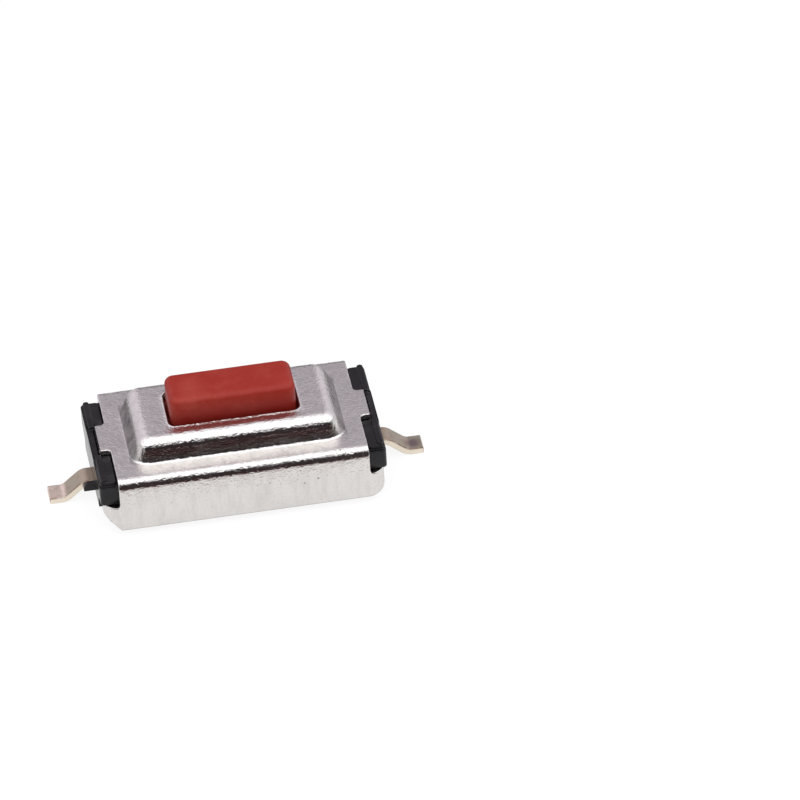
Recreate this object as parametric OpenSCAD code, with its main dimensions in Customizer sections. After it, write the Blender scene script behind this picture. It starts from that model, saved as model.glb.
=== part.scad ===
// Tactile push button switch, low oblong type, with two gull-wing leads.
// Millimetres. X runs along the leads, Z is up, and Z = 0 is the board.
// The origin is at the middle of the switch, on the board.

/* [Metal cover] */
// Width over the two side walls
cover_w = 3.5; // [3.3:0.02:4]
// Length of each side wall, from notch to notch
wall_l = 5.52; // [5.3:0.02:5.9]
// Reach of each end tab past the side walls
tab_reach = 0.24; // [0.14:0.01:0.3]
// Width of each end tab
tab_w = 0.94; // [0.7:0.02:1.2]
// Thickness of the sheet that the cover is pressed from
sheet_t = 0.15; // [0.1:0.01:0.18]
// Height of the cover, from its lower edge to its flat rim
cover_h = 1.28; // [1.2:0.02:1.5]
// Height of the cover's lower edge above the board
stand_off = 0.15; // [0.1:0.01:0.25]
// Outer radius of the bend along each side wall
bend_r = 0.22; // [0.19:0.01:0.3]
// Radius in the corners of the four notches
notch_r = 0.1; // [0.06:0.01:0.12]

/* [Raised plateau] */
// Length of the flat rim at each end of the plateau's foot
rim_l = 0.35; // [0.25:0.01:0.5]
// Width of the rim at each side of the plateau's foot, with the bend
rim_w = 0.49; // [0.4:0.01:0.6]
// Height of the plateau above the rim
raise_h = 0.52; // [0.46:0.01:0.6]
// Radius in the corners of the plateau's flat top
flat_corner_r = 0.09; // [0.04:0.01:0.2]
// Steepness of the plateau's sides, in degrees from level
raise_angle = 78; // [70:1:85]
// Radius of the drawn edge round the top of the plateau
raise_top_r = 0.28; // [0.2:0.01:0.3]
// Radius of the drawn corner round the foot of the plateau
raise_foot_r = 0.09; // [0.05:0.01:0.12]

/* [Wrap-round ears] */
// Outer radius at which each ear turns round the corner
corner_r = 0.4; // [0.3:0.01:0.45]
// Distance inside the notch at which the corner starts to turn
corner_inset = 0.06; // [0.02:0.01:0.1]
// Height of each ear where it leaves the side wall
ear_h = 0.6; // [0.5:0.01:0.7]
// Straight reach of each ear along the end of the base
ear_reach = 0.25; // [0.15:0.01:0.35]
// Height of each ear at its tip
ear_tip_h = 0.3; // [0.2:0.01:0.4]
// Rise of the ear's lower edge towards its tip
ear_rise = 0.2; // [0.05:0.01:0.24]
// Radius at the corners of the ear's tip
ear_tip_r = 0.06; // [0.03:0.01:0.09]

/* [Button] */
// Flat ledge at each end of the button's window, on top of the plateau
ledge_l = 0.55; // [0.3:0.01:0.7]
// Flat ledge at each side of the button's window
ledge_w = 0.2; // [0.14:0.01:0.3]
// Height of the button's top above the plateau
button_proud = 0.58; // [0.4:0.02:1.2]
// Corner radius of the button, seen from above
button_corner_r = 0.16; // [0.08:0.01:0.2]
// Radius round the button's top edge
button_edge_r = 0.12; // [0.05:0.01:0.15]
// Travel of the button
travel = 0.25; // [0.15:0.01:0.28]
// Gap at each end of the button in the cover's window
window_gap_l = 0.06; // [0.03:0.01:0.1]
// Gap at each side of the button in the cover's window
window_gap_w = 0.12; // [0.05:0.01:0.14]
// Gap between the button's flange and the inside of the plateau, at each end
flange_gap_l = 0.22; // [0.1:0.01:0.4]
// Gap between the button's flange and the inside of the plateau, at each side
flange_gap_w = 0.07; // [0.03:0.01:0.1]
// Diameter of the stub below the button that presses the dome
stub_d = 0.8; // [0.5:0.05:1]

/* [Base] */
// Gap all round between the base and the cover
fit_gap = 0.02; // [0.01:0.01:0.03]
// Reach of the base's ends past the ears
end_proud = 0.06; // [0.02:0.01:0.12]
// Corner radius of the base, seen from above
base_corner_r = 0.18; // [0.1:0.01:0.25]
// Height of the corner posts above the base's top face
post_h = 0.08; // [0.04:0.01:0.1]
// Height of the outer half of each post above its inner half
post_step_h = 0.07; // [0.03:0.01:0.1]
// Length of the outer half of each post
post_step_l = 0.18; // [0.1:0.01:0.22]
// Distance from the notches to each end of the panel on the underside
panel_end_gap = 0.01; // [0.01:0.01:0.2]
// Gap between each side of the panel and the cover
panel_side_gap = 0.1; // [0.04:0.01:0.2]
// Height of the panel's face above the board
panel_z = 0.05; // [0.02:0.01:0.08]
// Corner radius of the panel
panel_corner_r = 0.4; // [0.2:0.01:0.5]
// Clearance between the dome and the walls of its pocket
pocket_gap = 0.08; // [0.04:0.01:0.12]
// Corner radius of the pocket
pocket_corner_r = 0.16; // [0.06:0.01:0.3]
// Depth of the pocket's floor below the contacts
floor_drop = 0.06; // [0.02:0.01:0.1]

/* [Underside recesses] */
// Length of each of the three slots
slot_l = 1.55; // [1.3:0.05:1.8]
// Width of each slot
slot_w = 0.52; // [0.3:0.02:0.6]
// Spacing of the slots
slot_pitch = 1; // [0.8:0.02:1.1]
// Corner radius of the slots
slot_corner_r = 0.06; // [0.03:0.01:0.1]
// Depth of the slots
slot_depth = 0.24; // [0.1:0.01:0.26]
// Length of each engraved frame
frame_l = 1.46; // [1.2:0.02:1.56]
// Distance from each engraved frame to the end of the panel
frame_end_gap = 0.26; // [0.15:0.01:0.3]
// Distance from each engraved frame to the sides of the panel
frame_side_gap = 0.35; // [0.2:0.01:0.6]
// Width of the engraved line
frame_line = 0.07; // [0.04:0.01:0.1]
// Depth of the engraved line
frame_depth = 0.05; // [0.02:0.01:0.08]

/* [Leads and contacts] */
// Width of each lead
lead_w = 0.5; // [0.35:0.01:0.6]
// Thickness of the strip that the leads are pressed from
lead_t = 0.14; // [0.1:0.01:0.15]
// Height of each lead's underside where it leaves the base
lead_exit_z = 0.36; // [0.34:0.01:0.4]
// Length of each foot's flat
foot_l = 0.36; // [0.25:0.01:0.5]
// Level stretch of each lead before it bends down
lead_neck = 0.2; // [0.14:0.01:0.25]
// Length over which each lead slopes down to its foot
lead_slope_l = 0.43; // [0.38:0.01:0.8]
// Inner radius of the two bends in each lead outside the base
lead_bend_r = 0.2; // [0.08:0.01:0.25]
// Inner radius of the two bends of each strip inside the base
step_bend_r = 0.1; // [0.06:0.01:0.11]
// Height of each lead's underside above the end blocks that it lies in
lead_sink = 0.02; // [0.01:0.01:0.04]
// Width of the contact ring under each end of the dome
seat_l = 0.48; // [0.3:0.02:0.6]
// Width of the contact ring along each side of the pocket
seat_w = 0.33; // [0.2:0.01:0.4]
// Reach of the contact ring into the walls of the pocket
ring_grip = 0.12; // [0.06:0.01:0.18]
// Corner radius of the contact ring
ring_corner_r = 0.2; // [0.1:0.02:0.3]
// Size of the square centre contact
pad_size = 0.8; // [0.6:0.02:0.9]

/* [Dome and film] */
// Length of the snap dome
dome_l = 3.2; // [3:0.05:3.4]
// Width of the snap dome
dome_w = 2; // [1.8:0.05:2.1]
// Thickness of the snap dome
dome_t = 0.06; // [0.04:0.01:0.08]
// Gap between the dome and the film
dome_gap = 0.04; // [0.02:0.01:0.05]
// Distance from the notches to each end of the insulating film
film_end_gap = 0.51; // [0.2:0.01:0.6]
// Distance from each side of the base to the insulating film
film_side_gap = 0.18; // [0.05:0.01:0.3]
// Corner radius of the insulating film
film_corner_r = 0.2; // [0.1:0.02:0.4]
// Thickness of the insulating film
film_t = 0.04; // [0.02:0.01:0.05]
// Gap between the film and the button's stub, and above the film
film_gap = 0.02; // [0.01:0.01:0.03]

/* [Moulding stub] */
// Length of the stub that the mould leaves beside one lead
nib_l = 0.24; // [0.1:0.01:0.3]
// Width of that stub
nib_w = 0.13; // [0.08:0.01:0.2]
// Height of that stub
nib_h = 0.19; // [0.12:0.01:0.24]
// Drop of that stub below the underside of the lead beside it
nib_drop = 0.03; // [0.01:0.01:0.05]
// Length of the slope on the upper half of that stub's end
nib_slope_l = 0.07; // [0.02:0.01:0.09]

/* [Hidden] */
$fn = 40;
// Sides of each drawn bend, and of the tight bend at the plateau's foot
bend_steps = 8;
foot_steps = 4;
// A reach that clears the whole part
past = 1;

// Heights, from the board up
rim_z = stand_off + cover_h;
plateau_z = rim_z + raise_h;
button_top_z = plateau_z + button_proud;
base_top_z = rim_z - sheet_t - film_t - film_gap;
film_top_z = base_top_z + film_t;
stub_z = film_top_z + film_gap;
contact_z = stub_z - travel - film_t - dome_t;
floor_z = contact_z - floor_drop;
post_z = base_top_z + post_h;
end_block_z = lead_exit_z + lead_sink;

// The cover
tab_l = wall_l + 2 * tab_reach;
raise_l = wall_l - 2 * rim_l;
raise_w = cover_w - 2 * rim_w;
slope_reach = round(draw_inset() * 500) / 500;
raise_corner_r = flat_corner_r + slope_reach;
plateau_l = raise_l - 2 * slope_reach;
plateau_w = raise_w - 2 * slope_reach;
window_l = plateau_l - 2 * ledge_l;
window_w = plateau_w - 2 * ledge_w;
corner_x = wall_l / 2 - corner_inset;
corner_y = cover_w / 2 - corner_r;
ear_x = corner_x + corner_r;
ear_tip_y = corner_y - ear_reach;

// The base
base_l = 2 * (ear_x + end_proud);
base_w = cover_w - 2 * sheet_t - 2 * fit_gap;
pocket_l = dome_l + 2 * pocket_gap;
pocket_w = dome_w + 2 * pocket_gap;
panel_l = wall_l - 2 * panel_end_gap;
panel_w = cover_w - 2 * sheet_t - 2 * panel_side_gap;
frame_x = panel_l / 2 - frame_end_gap - frame_l / 2;
frame_w = panel_w - 2 * frame_side_gap;

// The leads, contacts and film
lead_span = base_l + 2 * (lead_neck + lead_slope_l + foot_l);
lead_bends = [lead_bend_r, lead_bend_r, step_bend_r, step_bend_r];
ring_l = pocket_l + 2 * ring_grip;
ring_w = pocket_w + 2 * ring_grip;
ring_window_l = pocket_l - 2 * seat_l;
ring_window_w = pocket_w - 2 * seat_w;
film_l = wall_l - 2 * film_end_gap;
film_w = base_w - 2 * film_side_gap;

// The button
button_l = window_l - 2 * window_gap_l;
button_w = window_w - 2 * window_gap_w;
flange_l = plateau_l - 2 * flange_gap_l;
flange_w = plateau_w - 2 * flange_gap_w;
flange_top_z = plateau_z - sheet_t - film_gap;
flange_z = stub_z + travel + film_gap;

// An arc of a profile about a centre, from angle a to angle b
function arc(centre, r, a, b, steps = bend_steps) =
    [for (i = [0 : steps]) let (t = a + (b - a) * i / steps) centre + r * [cos(t), sin(t)]];

// Half section of the drawn plateau as distance from its corner's centre and height over the rim.
// The plateau's sizes take the level reach of its slope to the nearest 0.002 mm, as slope_reach.
// inset 0 gives the outer skin, and sheet_t gives the inner skin of the same sheet.
function draw_length() =
    (raise_h - (raise_top_r + raise_foot_r) * (1 - cos(raise_angle))) / sin(raise_angle);
function draw_inset() =
    (raise_top_r + raise_foot_r) * sin(raise_angle) + draw_length() * cos(raise_angle);
function drawn_skin(reach, inset) = concat(
    arc([reach, raise_foot_r], raise_foot_r + inset, 270, 270 - raise_angle, foot_steps),
    arc([reach - draw_inset(), raise_h - raise_top_r], raise_top_r - inset, 90 - raise_angle, 90));

// Outline of a strip of thickness t along a path of level and sloping runs.
// Each inner point of the path is a bend, and radii lists the bends' inner radii.
function unit(v) = v / norm(v);
function side(v) = [-v[1], v[0]];
function turn(a, b, c) = let (u = unit(b - a), v = unit(c - b))
    atan2(u[0] * v[1] - u[1] * v[0], u[0] * v[0] + u[1] * v[1]);
function bend(a, b, c, t, r, edge) = let (
    u = unit(b - a),
    bend_angle = turn(a, b, c),
    s = sign(bend_angle),
    mid_r = r + t / 2,
    start = b - u * mid_r * tan(abs(bend_angle) / 2),
    centre = start + side(u) * s * mid_r,
    radius = mid_r - s * edge * t / 2,
    from = atan2(-side(u)[1] * s, -side(u)[0] * s))
    arc(centre, radius, from, from + bend_angle, bend_steps);
function strip_edge(path, t, radii, edge) = let (last = len(path) - 1) concat(
    [path[0] + side(unit(path[1] - path[0])) * edge * t / 2],
    [for (i = [1 : last - 1]) each bend(path[i - 1], path[i], path[i + 1], t, radii[i - 1], edge)],
    [path[last] + side(unit(path[last] - path[last - 1])) * edge * t / 2]);
function reversed(list) = [for (i = [len(list) - 1 : -1 : 0]) list[i]];
function strip(path, t, radii) =
    concat(strip_edge(path, t, radii, 1), reversed(strip_edge(path, t, radii, -1)));

// A rectangle about the origin with round corners
module round_rect(l, w, r) {
    square([l - 2 * r, w], center = true);
    square([l, w - 2 * r], center = true);
    for (x = [-1, 1], y = [-1, 1])
        translate([x * (l / 2 - r), y * (w / 2 - r)])
            circle(r);
}

module slab(l, w, r, z0, z1) {
    translate([0, 0, z0])
        linear_extrude(z1 - z0)
            round_rect(l, w, r);
}

// Stands an XZ outline up and gives it a width about the XZ plane
module across(w) {
    rotate([90, 0, 0])
        linear_extrude(w, center = true)
            children();
}

// Stands a YZ outline up and gives it a length about the YZ plane
module along(l) {
    rotate([90, 0, 90])
        linear_extrude(l, center = true)
            children();
}

module each_corner() {
    for (x = [0, 1], y = [0, 1])
        mirror([x, 0, 0])
            mirror([0, y, 0])
                children();
}

// A block with round corners whose side follows a skin, from its foot to its top.
// The skin is a list of points: distance from the corner's centre, and height. low is the block's base.
module skinned_block(l, w, corner, skin, low) {
    span_l = l / 2 - corner;
    span_w = w / 2 - corner;
    function half(by) = [for (p = skin) p + [by, 0]];
    function full(by) = concat([[by + skin[0][0], low]], half(by),
        reversed([for (p = half(by)) [-p[0], p[1]]]), [[-by - skin[0][0], low]]);
    across(2 * span_w)
        polygon(full(span_l));
    along(2 * span_l)
        polygon(full(span_w));
    each_corner()
        translate([span_l, span_w, 0])
            rotate_extrude(angle = 90)
                polygon(concat([[0, low], [skin[0][0], low]], skin, [[0, skin[len(skin) - 1][1]]]));
}

// The drawn plateau as a solid, with the outer or the inner skin of the sheet
module drawn_solid(inset) {
    translate([0, 0, rim_z])
        skinned_block(raise_l, raise_w, raise_corner_r, drawn_skin(raise_corner_r, inset),
            -inset - (inset > 0 ? past : sheet_t / 2));
}

// Cross-section of the cover's channel: two side walls and the rim, bent from one sheet
module channel_section(w, t, r, z_top) {
    module solid_section(half, top, round_r) {
        polygon(concat(
            [[-half, stand_off - (t > 0 ? 0 : past)], [half, stand_off - (t > 0 ? 0 : past)]],
            arc([half - round_r, top - round_r], round_r, 0, 90),
            arc([round_r - half, top - round_r], round_r, 90, 180)));
    }
    difference() {
        solid_section(w / 2, z_top, r);
        polygon(concat(
            [[t - w / 2, stand_off - past], [w / 2 - t, stand_off - past]],
            arc([w / 2 - r, z_top - r], r - t, 0, 90),
            arc([r - w / 2, z_top - r], r - t, 90, 180)));
    }
}

// Inner corner of a notch, as a square less a circle, with its corner at the origin
module notch_fillet() {
    difference() {
        square(notch_r);
        translate([notch_r, notch_r])
            circle(notch_r);
    }
}

// Each end tab, with the round inner corners of the notches beside it
module tabs() {
    translate([0, 0, rim_z - sheet_t])
        linear_extrude(sheet_t) {
            square([tab_l, tab_w], center = true);
            each_corner()
                translate([wall_l / 2, tab_w / 2])
                    notch_fillet();
        }
}

// Side view of one ear along the wall, from the notch outwards. gap widens it for its pocket.
module ear_front(gap) {
    low = stand_off - (gap > 0 ? past : 0);
    high = stand_off + ear_h + gap;
    polygon([[corner_x - past, low], [ear_x + past, low], [ear_x + past, high], [corner_x - past, high]]);
    if (gap == 0)
        translate([wall_l / 2, stand_off + ear_h])
            notch_fillet();
}

// Side view of one ear along the end of the base: it narrows towards a round tip
module ear_end(gap) {
    tip_low = stand_off + ear_rise;
    tip_high = tip_low + ear_tip_h;
    low = gap > 0 ? stand_off - past : stand_off;
    polygon([
        [-cover_w / 2 - past, low],
        [-cover_w / 2, low],
        [-ear_tip_y - ear_tip_r + gap, gap > 0 ? low : tip_low],
        [-ear_tip_y + gap, gap > 0 ? low : tip_low + ear_tip_r],
        [-ear_tip_y + gap, tip_high - ear_tip_r + gap],
        [-ear_tip_y - ear_tip_r + gap, tip_high + gap],
        [-corner_y, stand_off + ear_h + gap],
        [-cover_w / 2 - past, stand_off + ear_h + gap + (gap > 0 ? 0 : past)]]);
}

// What lies outside the ear's inner skin, or between its two skins where outer is true
module ear_plan(gap, outer) {
    inner_r = corner_r - sheet_t - gap;
    difference() {
        translate([corner_x - past / 4, -cover_w / 2 - (outer ? 0 : past)])
            square([past / 4 + corner_r + (outer ? 0 : past), cover_w / 2 - ear_tip_y + corner_r
                + (outer ? 0 : past)]);
        translate([corner_x, -corner_y])
            circle(inner_r);
        translate([corner_x - past, -corner_y])
            square([past + inner_r, past * 3]);
        translate([corner_x - past, -corner_y - inner_r])
            square([past, past * 3]);
        if (outer)
            translate([corner_x, -cover_w / 2])
                difference() {
                    square([corner_r, corner_r]);
                    translate([0, corner_r])
                        circle(corner_r);
                }
    }
}

// One ear, at the corner with positive X and negative Y
module ear() {
    intersection() {
        linear_extrude(rim_z)
            ear_plan(0, true);
        across(2 * cover_w)
            ear_front(0);
        translate([ear_x, 0, 0])
            along(2 * corner_r + past)
                ear_end(0);
    }
}

// Room in the base for one ear, with the fit gap round it
module ear_pocket() {
    intersection() {
        translate([0, 0, -past])
            linear_extrude(rim_z + past)
                ear_plan(fit_gap, false);
        across(2 * cover_w)
            ear_front(fit_gap);
        translate([ear_x, 0, 0])
            along(2 * corner_r + past)
                ear_end(fit_gap);
    }
}

module metal_cover() {
    color([0.82, 0.8, 0.79])
        difference() {
            union() {
                along(wall_l)
                    channel_section(cover_w, sheet_t, bend_r, rim_z);
                tabs();
                each_corner()
                    mirror([0, 1, 0])
                        ear();
                drawn_solid(0);
            }
            drawn_solid(sheet_t);
            slab(window_l, window_w, button_corner_r, rim_z, plateau_z + past);
        }
}

// One corner post: an inner half that fills the notch, and a higher outer half past it
module post() {
    inner_x = wall_l / 2 + fit_gap;
    inner_y = tab_w / 2 + fit_gap;
    outer_y = base_w / 2 - base_corner_r / 2;
    module block(start_x, high) {
        translate([(start_x + base_l / 2) / 2, (inner_y + outer_y) / 2, 0])
            slab(base_l / 2 - start_x, outer_y - inner_y, notch_r - fit_gap, floor_z, high);
    }
    block(inner_x, post_z);
    block(base_l / 2 - post_step_l, post_z + post_step_h);
}

// End wall past each tab, as high as the posts' inner halves
module end_wall() {
    start = tab_l / 2 + fit_gap;
    translate([start, -tab_w / 2 - fit_gap, floor_z])
        cube([base_l / 2 - start, tab_w + 2 * fit_gap, post_z - floor_z]);
}

module moulding_stub() {
    low = lead_exit_z - nib_drop;
    translate([0, -lead_w / 2 - fit_gap - nib_w / 2, 0])
        across(nib_w)
            polygon([
                [-base_l / 2 + fit_gap, low],
                [-base_l / 2 - nib_l, low],
                [-base_l / 2 - nib_l, low + nib_h / 2],
                [-base_l / 2 - nib_l + nib_slope_l, low + nib_h],
                [-base_l / 2 + fit_gap, low + nib_h]]);
}

module engraved_frame() {
    translate([0, 0, panel_z - past])
        linear_extrude(past + frame_depth)
            difference() {
                square([frame_l, frame_w], center = true);
                square([frame_l - 2 * frame_line, frame_w - 2 * frame_line], center = true);
            }
}

module base_housing() {
    color([0.13, 0.13, 0.14])
        difference() {
            union() {
                slab(base_l, base_w, base_corner_r, end_block_z, base_top_z);
                slab(panel_l, panel_w, panel_corner_r, panel_z, base_top_z);
                each_corner()
                    post();
                for (end = [0, 1])
                    mirror([end, 0, 0])
                        end_wall();
                moulding_stub();
            }
            slab(pocket_l, pocket_w, pocket_corner_r, floor_z, base_top_z + past);
            each_corner()
                mirror([0, 1, 0])
                    ear_pocket();
            for (i = [-1 : 1])
                slot(i);
            for (end = [-1, 1])
                translate([end * frame_x, 0, 0])
                    engraved_frame();
            centre_strip();
            outer_strip();
        }
}

module slot(row) {
    translate([0, row * slot_pitch, 0])
        slab(slot_l, slot_w, slot_corner_r, panel_z - past, panel_z + slot_depth);
}

module button() {
    top_skin = arc([button_corner_r - button_edge_r, button_top_z - button_edge_r], button_edge_r, 0, 90);
    color([0.68, 0.22, 0.17])
        union() {
            skinned_block(button_l, button_w, button_corner_r, top_skin, flange_z);
            slab(flange_l, flange_w, button_corner_r, flange_z, flange_top_z);
            translate([0, 0, stub_z])
                cylinder(h = flange_z - stub_z, d = stub_d);
        }
}

module snap_dome() {
    rise = base_top_z - dome_gap - contact_z;
    radius = (pow(dome_l / 2, 2) + pow(rise, 2)) / (2 * rise);
    color([0.86, 0.84, 0.78])
        intersection() {
            translate([0, 0, contact_z + rise - radius])
                difference() {
                    sphere(radius);
                    sphere(radius - dome_t);
                }
            translate([-dome_l, -dome_w / 2, contact_z])
                cube([2 * dome_l, dome_w, rise + past]);
        }
}

module insulating_film() {
    color([0.85, 0.62, 0.25, 0.8])
        slab(film_l, film_w, film_corner_r, base_top_z, film_top_z);
}

// Path of a strip's middle, from the tip of its foot to where it ends under the dome
function lead_path(end_x, step_x) = [
    [lead_span / 2, lead_t / 2],
    [lead_span / 2 - foot_l, lead_t / 2],
    [base_l / 2 + lead_neck, lead_exit_z + lead_t / 2],
    [step_x, lead_exit_z + lead_t / 2],
    [step_x, contact_z - lead_t / 2],
    [end_x, contact_z - lead_t / 2]];

module centre_strip() {
    mirror([1, 0, 0]) {
        across(lead_w)
            polygon(strip(lead_path(0, pad_size), lead_t, lead_bends));
    }
    translate([-pad_size / 2, -pad_size / 2, contact_z - lead_t])
        cube([pad_size, pad_size, lead_t]);
}

module outer_strip() {
    across(lead_w)
        polygon(strip(lead_path(ring_window_l / 2 + fit_gap, ring_l / 2 + step_bend_r + lead_t),
            lead_t, lead_bends));
    translate([0, 0, contact_z - lead_t])
        linear_extrude(lead_t)
            difference() {
                round_rect(ring_l, ring_w, ring_corner_r);
                square([ring_window_l, ring_window_w], center = true);
            }
}

module centre_terminal() {
    color([0.75, 0.69, 0.62])
        centre_strip();
}

module outer_terminal() {
    color([0.75, 0.69, 0.62])
        outer_strip();
}

metal_cover();
base_housing();
button();
snap_dome();
insulating_film();
centre_terminal();
outer_terminal();
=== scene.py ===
"""Looks of a low tactile push button switch: metal cover, black base, red button and two gull-wing leads.

Sizes are in millimetres. Every mesh is worked out in millimetres and brought to metres when it is finished.
X runs along the switch, Y across it and Z up from the board.
"""

import logging
import math
from collections.abc import Sequence
from dataclasses import dataclass, field
from enum import Enum
from itertools import product

import bmesh
import bpy
import numpy as np
from mathutils import Matrix


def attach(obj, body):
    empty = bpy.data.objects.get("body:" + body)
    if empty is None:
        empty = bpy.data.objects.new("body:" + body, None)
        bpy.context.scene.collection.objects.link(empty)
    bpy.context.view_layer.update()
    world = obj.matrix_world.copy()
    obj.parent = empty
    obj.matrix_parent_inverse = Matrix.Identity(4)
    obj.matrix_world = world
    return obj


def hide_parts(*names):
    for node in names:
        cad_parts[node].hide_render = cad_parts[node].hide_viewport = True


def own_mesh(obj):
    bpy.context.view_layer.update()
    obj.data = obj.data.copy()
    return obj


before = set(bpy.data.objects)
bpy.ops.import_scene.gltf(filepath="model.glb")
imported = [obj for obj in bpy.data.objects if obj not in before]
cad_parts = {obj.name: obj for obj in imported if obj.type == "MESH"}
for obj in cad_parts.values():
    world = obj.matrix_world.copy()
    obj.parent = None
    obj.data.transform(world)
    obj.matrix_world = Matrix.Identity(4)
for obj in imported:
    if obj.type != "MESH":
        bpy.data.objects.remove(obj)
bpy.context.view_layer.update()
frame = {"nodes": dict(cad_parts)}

LOG = logging.getLogger("switch")
MM = 0.001  # a millimetre in metres
CLOSE = 1e-5  # points this near each other count as one
TINY = 1e-9  # stands for nothing where a size or a divisor can't be 0
PAST = 1.0  # cutters reach this far past what they cut
SIDES = (-1, 1)
FACE_PULL = 60  # how much more the large faces count in the shading, in the modifier's own scale
Array = np.ndarray
Material = bpy.types.Material
Thing = bpy.types.Object
Pair = tuple[float, float]
Triple = tuple[float, float, float]


# Curves and grids


def stops(*spans: tuple[float, float, int]) -> Array:
    """Numbers along spans that follow each other, each cut into its own count of equal steps.

    Args:
        spans: Start, end and count of steps of each span.

    Returns:
        The numbers, with a shared end written once.
    """
    parts = [np.linspace(a, b, n + 1)[:-1] for a, b, n in spans]
    return np.concatenate([*parts, [spans[-1][1]]])


def arc(centre: Pair, radius: float, start: float, end: float, steps: int) -> Array:
    """Points on an arc: the centre plus the radius times the cosine and sine of each angle.

    Args:
        centre: Middle of the circle.
        radius: Its radius.
        start: First angle in degrees.
        end: Last angle in degrees.
        steps: Count of equal steps.

    Returns:
        An array of (steps + 1, 2).
    """
    angle = np.radians(np.linspace(start, end, steps + 1))
    return np.array(centre) + radius * np.stack([np.cos(angle), np.sin(angle)], axis=-1)


@dataclass(frozen=True)
class Lap:
    """One lap of points round a rounded rectangle, shared by rings of any size.

    A point is its share of the way to the corner's centre on each axis, plus the corner's reach in the
    direction of its angle: x = share_x * (half_l - r) + r * cos(angle), and y likewise with the sine.
    """

    share_x: Array
    share_y: Array
    angle: Array

    @classmethod
    def around(cls, long_side: Array, short_side: Array, corner_steps: int) -> "Lap":
        """A lap from given places along the sides.

        Args:
            long_side: Places along X, from -1 to 1.
            short_side: Places along Y, from -1 to 1.
            corner_steps: Steps round each corner, an even count.

        Returns:
            The lap, counter-clockwise from the right side, with its first point again at its end.
        """
        bend = np.linspace(0, 90, corner_steps + 1)[1:-1]
        legs = []
        for turn, side in enumerate([(1, short_side), (-long_side, 1), (-1, -short_side), (long_side, -1)]):
            x, y = np.broadcast_arrays(*side)
            legs.append((x, y, np.full(x.size, 90.0 * turn)))
            legs.append((np.full(bend.size, x[-1]), np.full(bend.size, y[-1]), bend + 90.0 * turn))
        legs.append((legs[0][0][:1], legs[0][1][:1], np.array([360.0])))
        share_x, share_y, angle = (np.concatenate(part) for part in zip(*legs))
        return cls(share_x, share_y, np.radians(angle))

    def rings(
        self, half_l: Array, half_w: Array, corner: Array, z: Array, corner_l: Array | None = None
    ) -> Array:
        """Rings of rounded rectangles, one for each entry of the arrays.

        Args:
            half_l: Half lengths.
            half_w: Half widths.
            corner: Corner radii.
            z: Heights.
            corner_l: Reach of the corners along X, where it isn't their radius.

        Returns:
            A grid of points, ring by ring.
        """
        corner_l = corner if corner_l is None else corner_l
        half_l, half_w, corner, z, corner_l = (
            np.asarray(v, float)[:, None] for v in np.broadcast_arrays(half_l, half_w, corner, z, corner_l)
        )
        x = self.share_x * (half_l - corner_l) + corner_l * np.cos(self.angle)
        y = self.share_y * (half_w - corner) + corner * np.sin(self.angle)
        return np.stack([x, y, np.broadcast_to(z, x.shape)], axis=-1)

    def square_ring(self, half_l: float, half_w: float, centre: Pair, z: float) -> Array:
        """A ring on a rectangle with sharp corners, whose points face those of a rounded ring inside it.

        Up to half way round a corner a point stays on the short side and climbs with the angle's tangent,
        and after that it stays on the long side and moves with the cotangent.

        Args:
            half_l: Half length.
            half_w: Half width.
            centre: Centre of the round corners inside it.
            z: Height.

        Returns:
            One ring of points.
        """
        cos, sin = np.cos(self.angle), np.sin(self.angle)
        reach_x = np.minimum(1, np.abs(cos) / np.maximum(np.abs(sin), TINY)) * np.sign(np.round(cos, 9))
        reach_y = np.minimum(1, np.abs(sin) / np.maximum(np.abs(cos), TINY)) * np.sign(np.round(sin, 9))
        x = self.share_x * centre[0] + reach_x * (half_l - centre[0])
        y = self.share_y * centre[1] + reach_y * (half_w - centre[1])
        return np.stack([x, y, np.full(x.shape, z)], axis=-1)


def blended(first: Array, last: Array, steps: int) -> Array:
    """Rings spaced evenly on straight lines from one ring to another, without the first one.

    Args:
        first: Ring where the lines start.
        last: Ring where they end.
        steps: Count of rings to return.

    Returns:
        The rings, the last of them equal to last.
    """
    share = np.linspace(0, 1, steps + 1)[1:, None, None]
    return first + (last - first) * share


def mirrored(grid: Array, x: int = 1, y: int = 1) -> Array:
    """The grid with its X or Y turned over where the factor is -1."""
    return grid * np.array([x, y, 1])


def swept(path: Array, tangent: Array, section: Array) -> Array:
    """A section carried along a path in the XZ plane.

    The section's first number goes along Y, and its second along the path's normal.

    Args:
        path: Places on the path, (n, 2).
        tangent: Unit directions there, (n, 2).
        section: Points of the section for each place, (n, m, 2).

    Returns:
        The grid of points, (n, m, 3).
    """
    normal = np.stack([-tangent[:, 1], tangent[:, 0]], axis=-1)
    offset = normal[:, None, :] * section[..., 1:]
    x, z = (path[:, None, :] + offset).transpose(2, 0, 1)
    return np.stack([x, section[..., 0], z], axis=-1)


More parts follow.
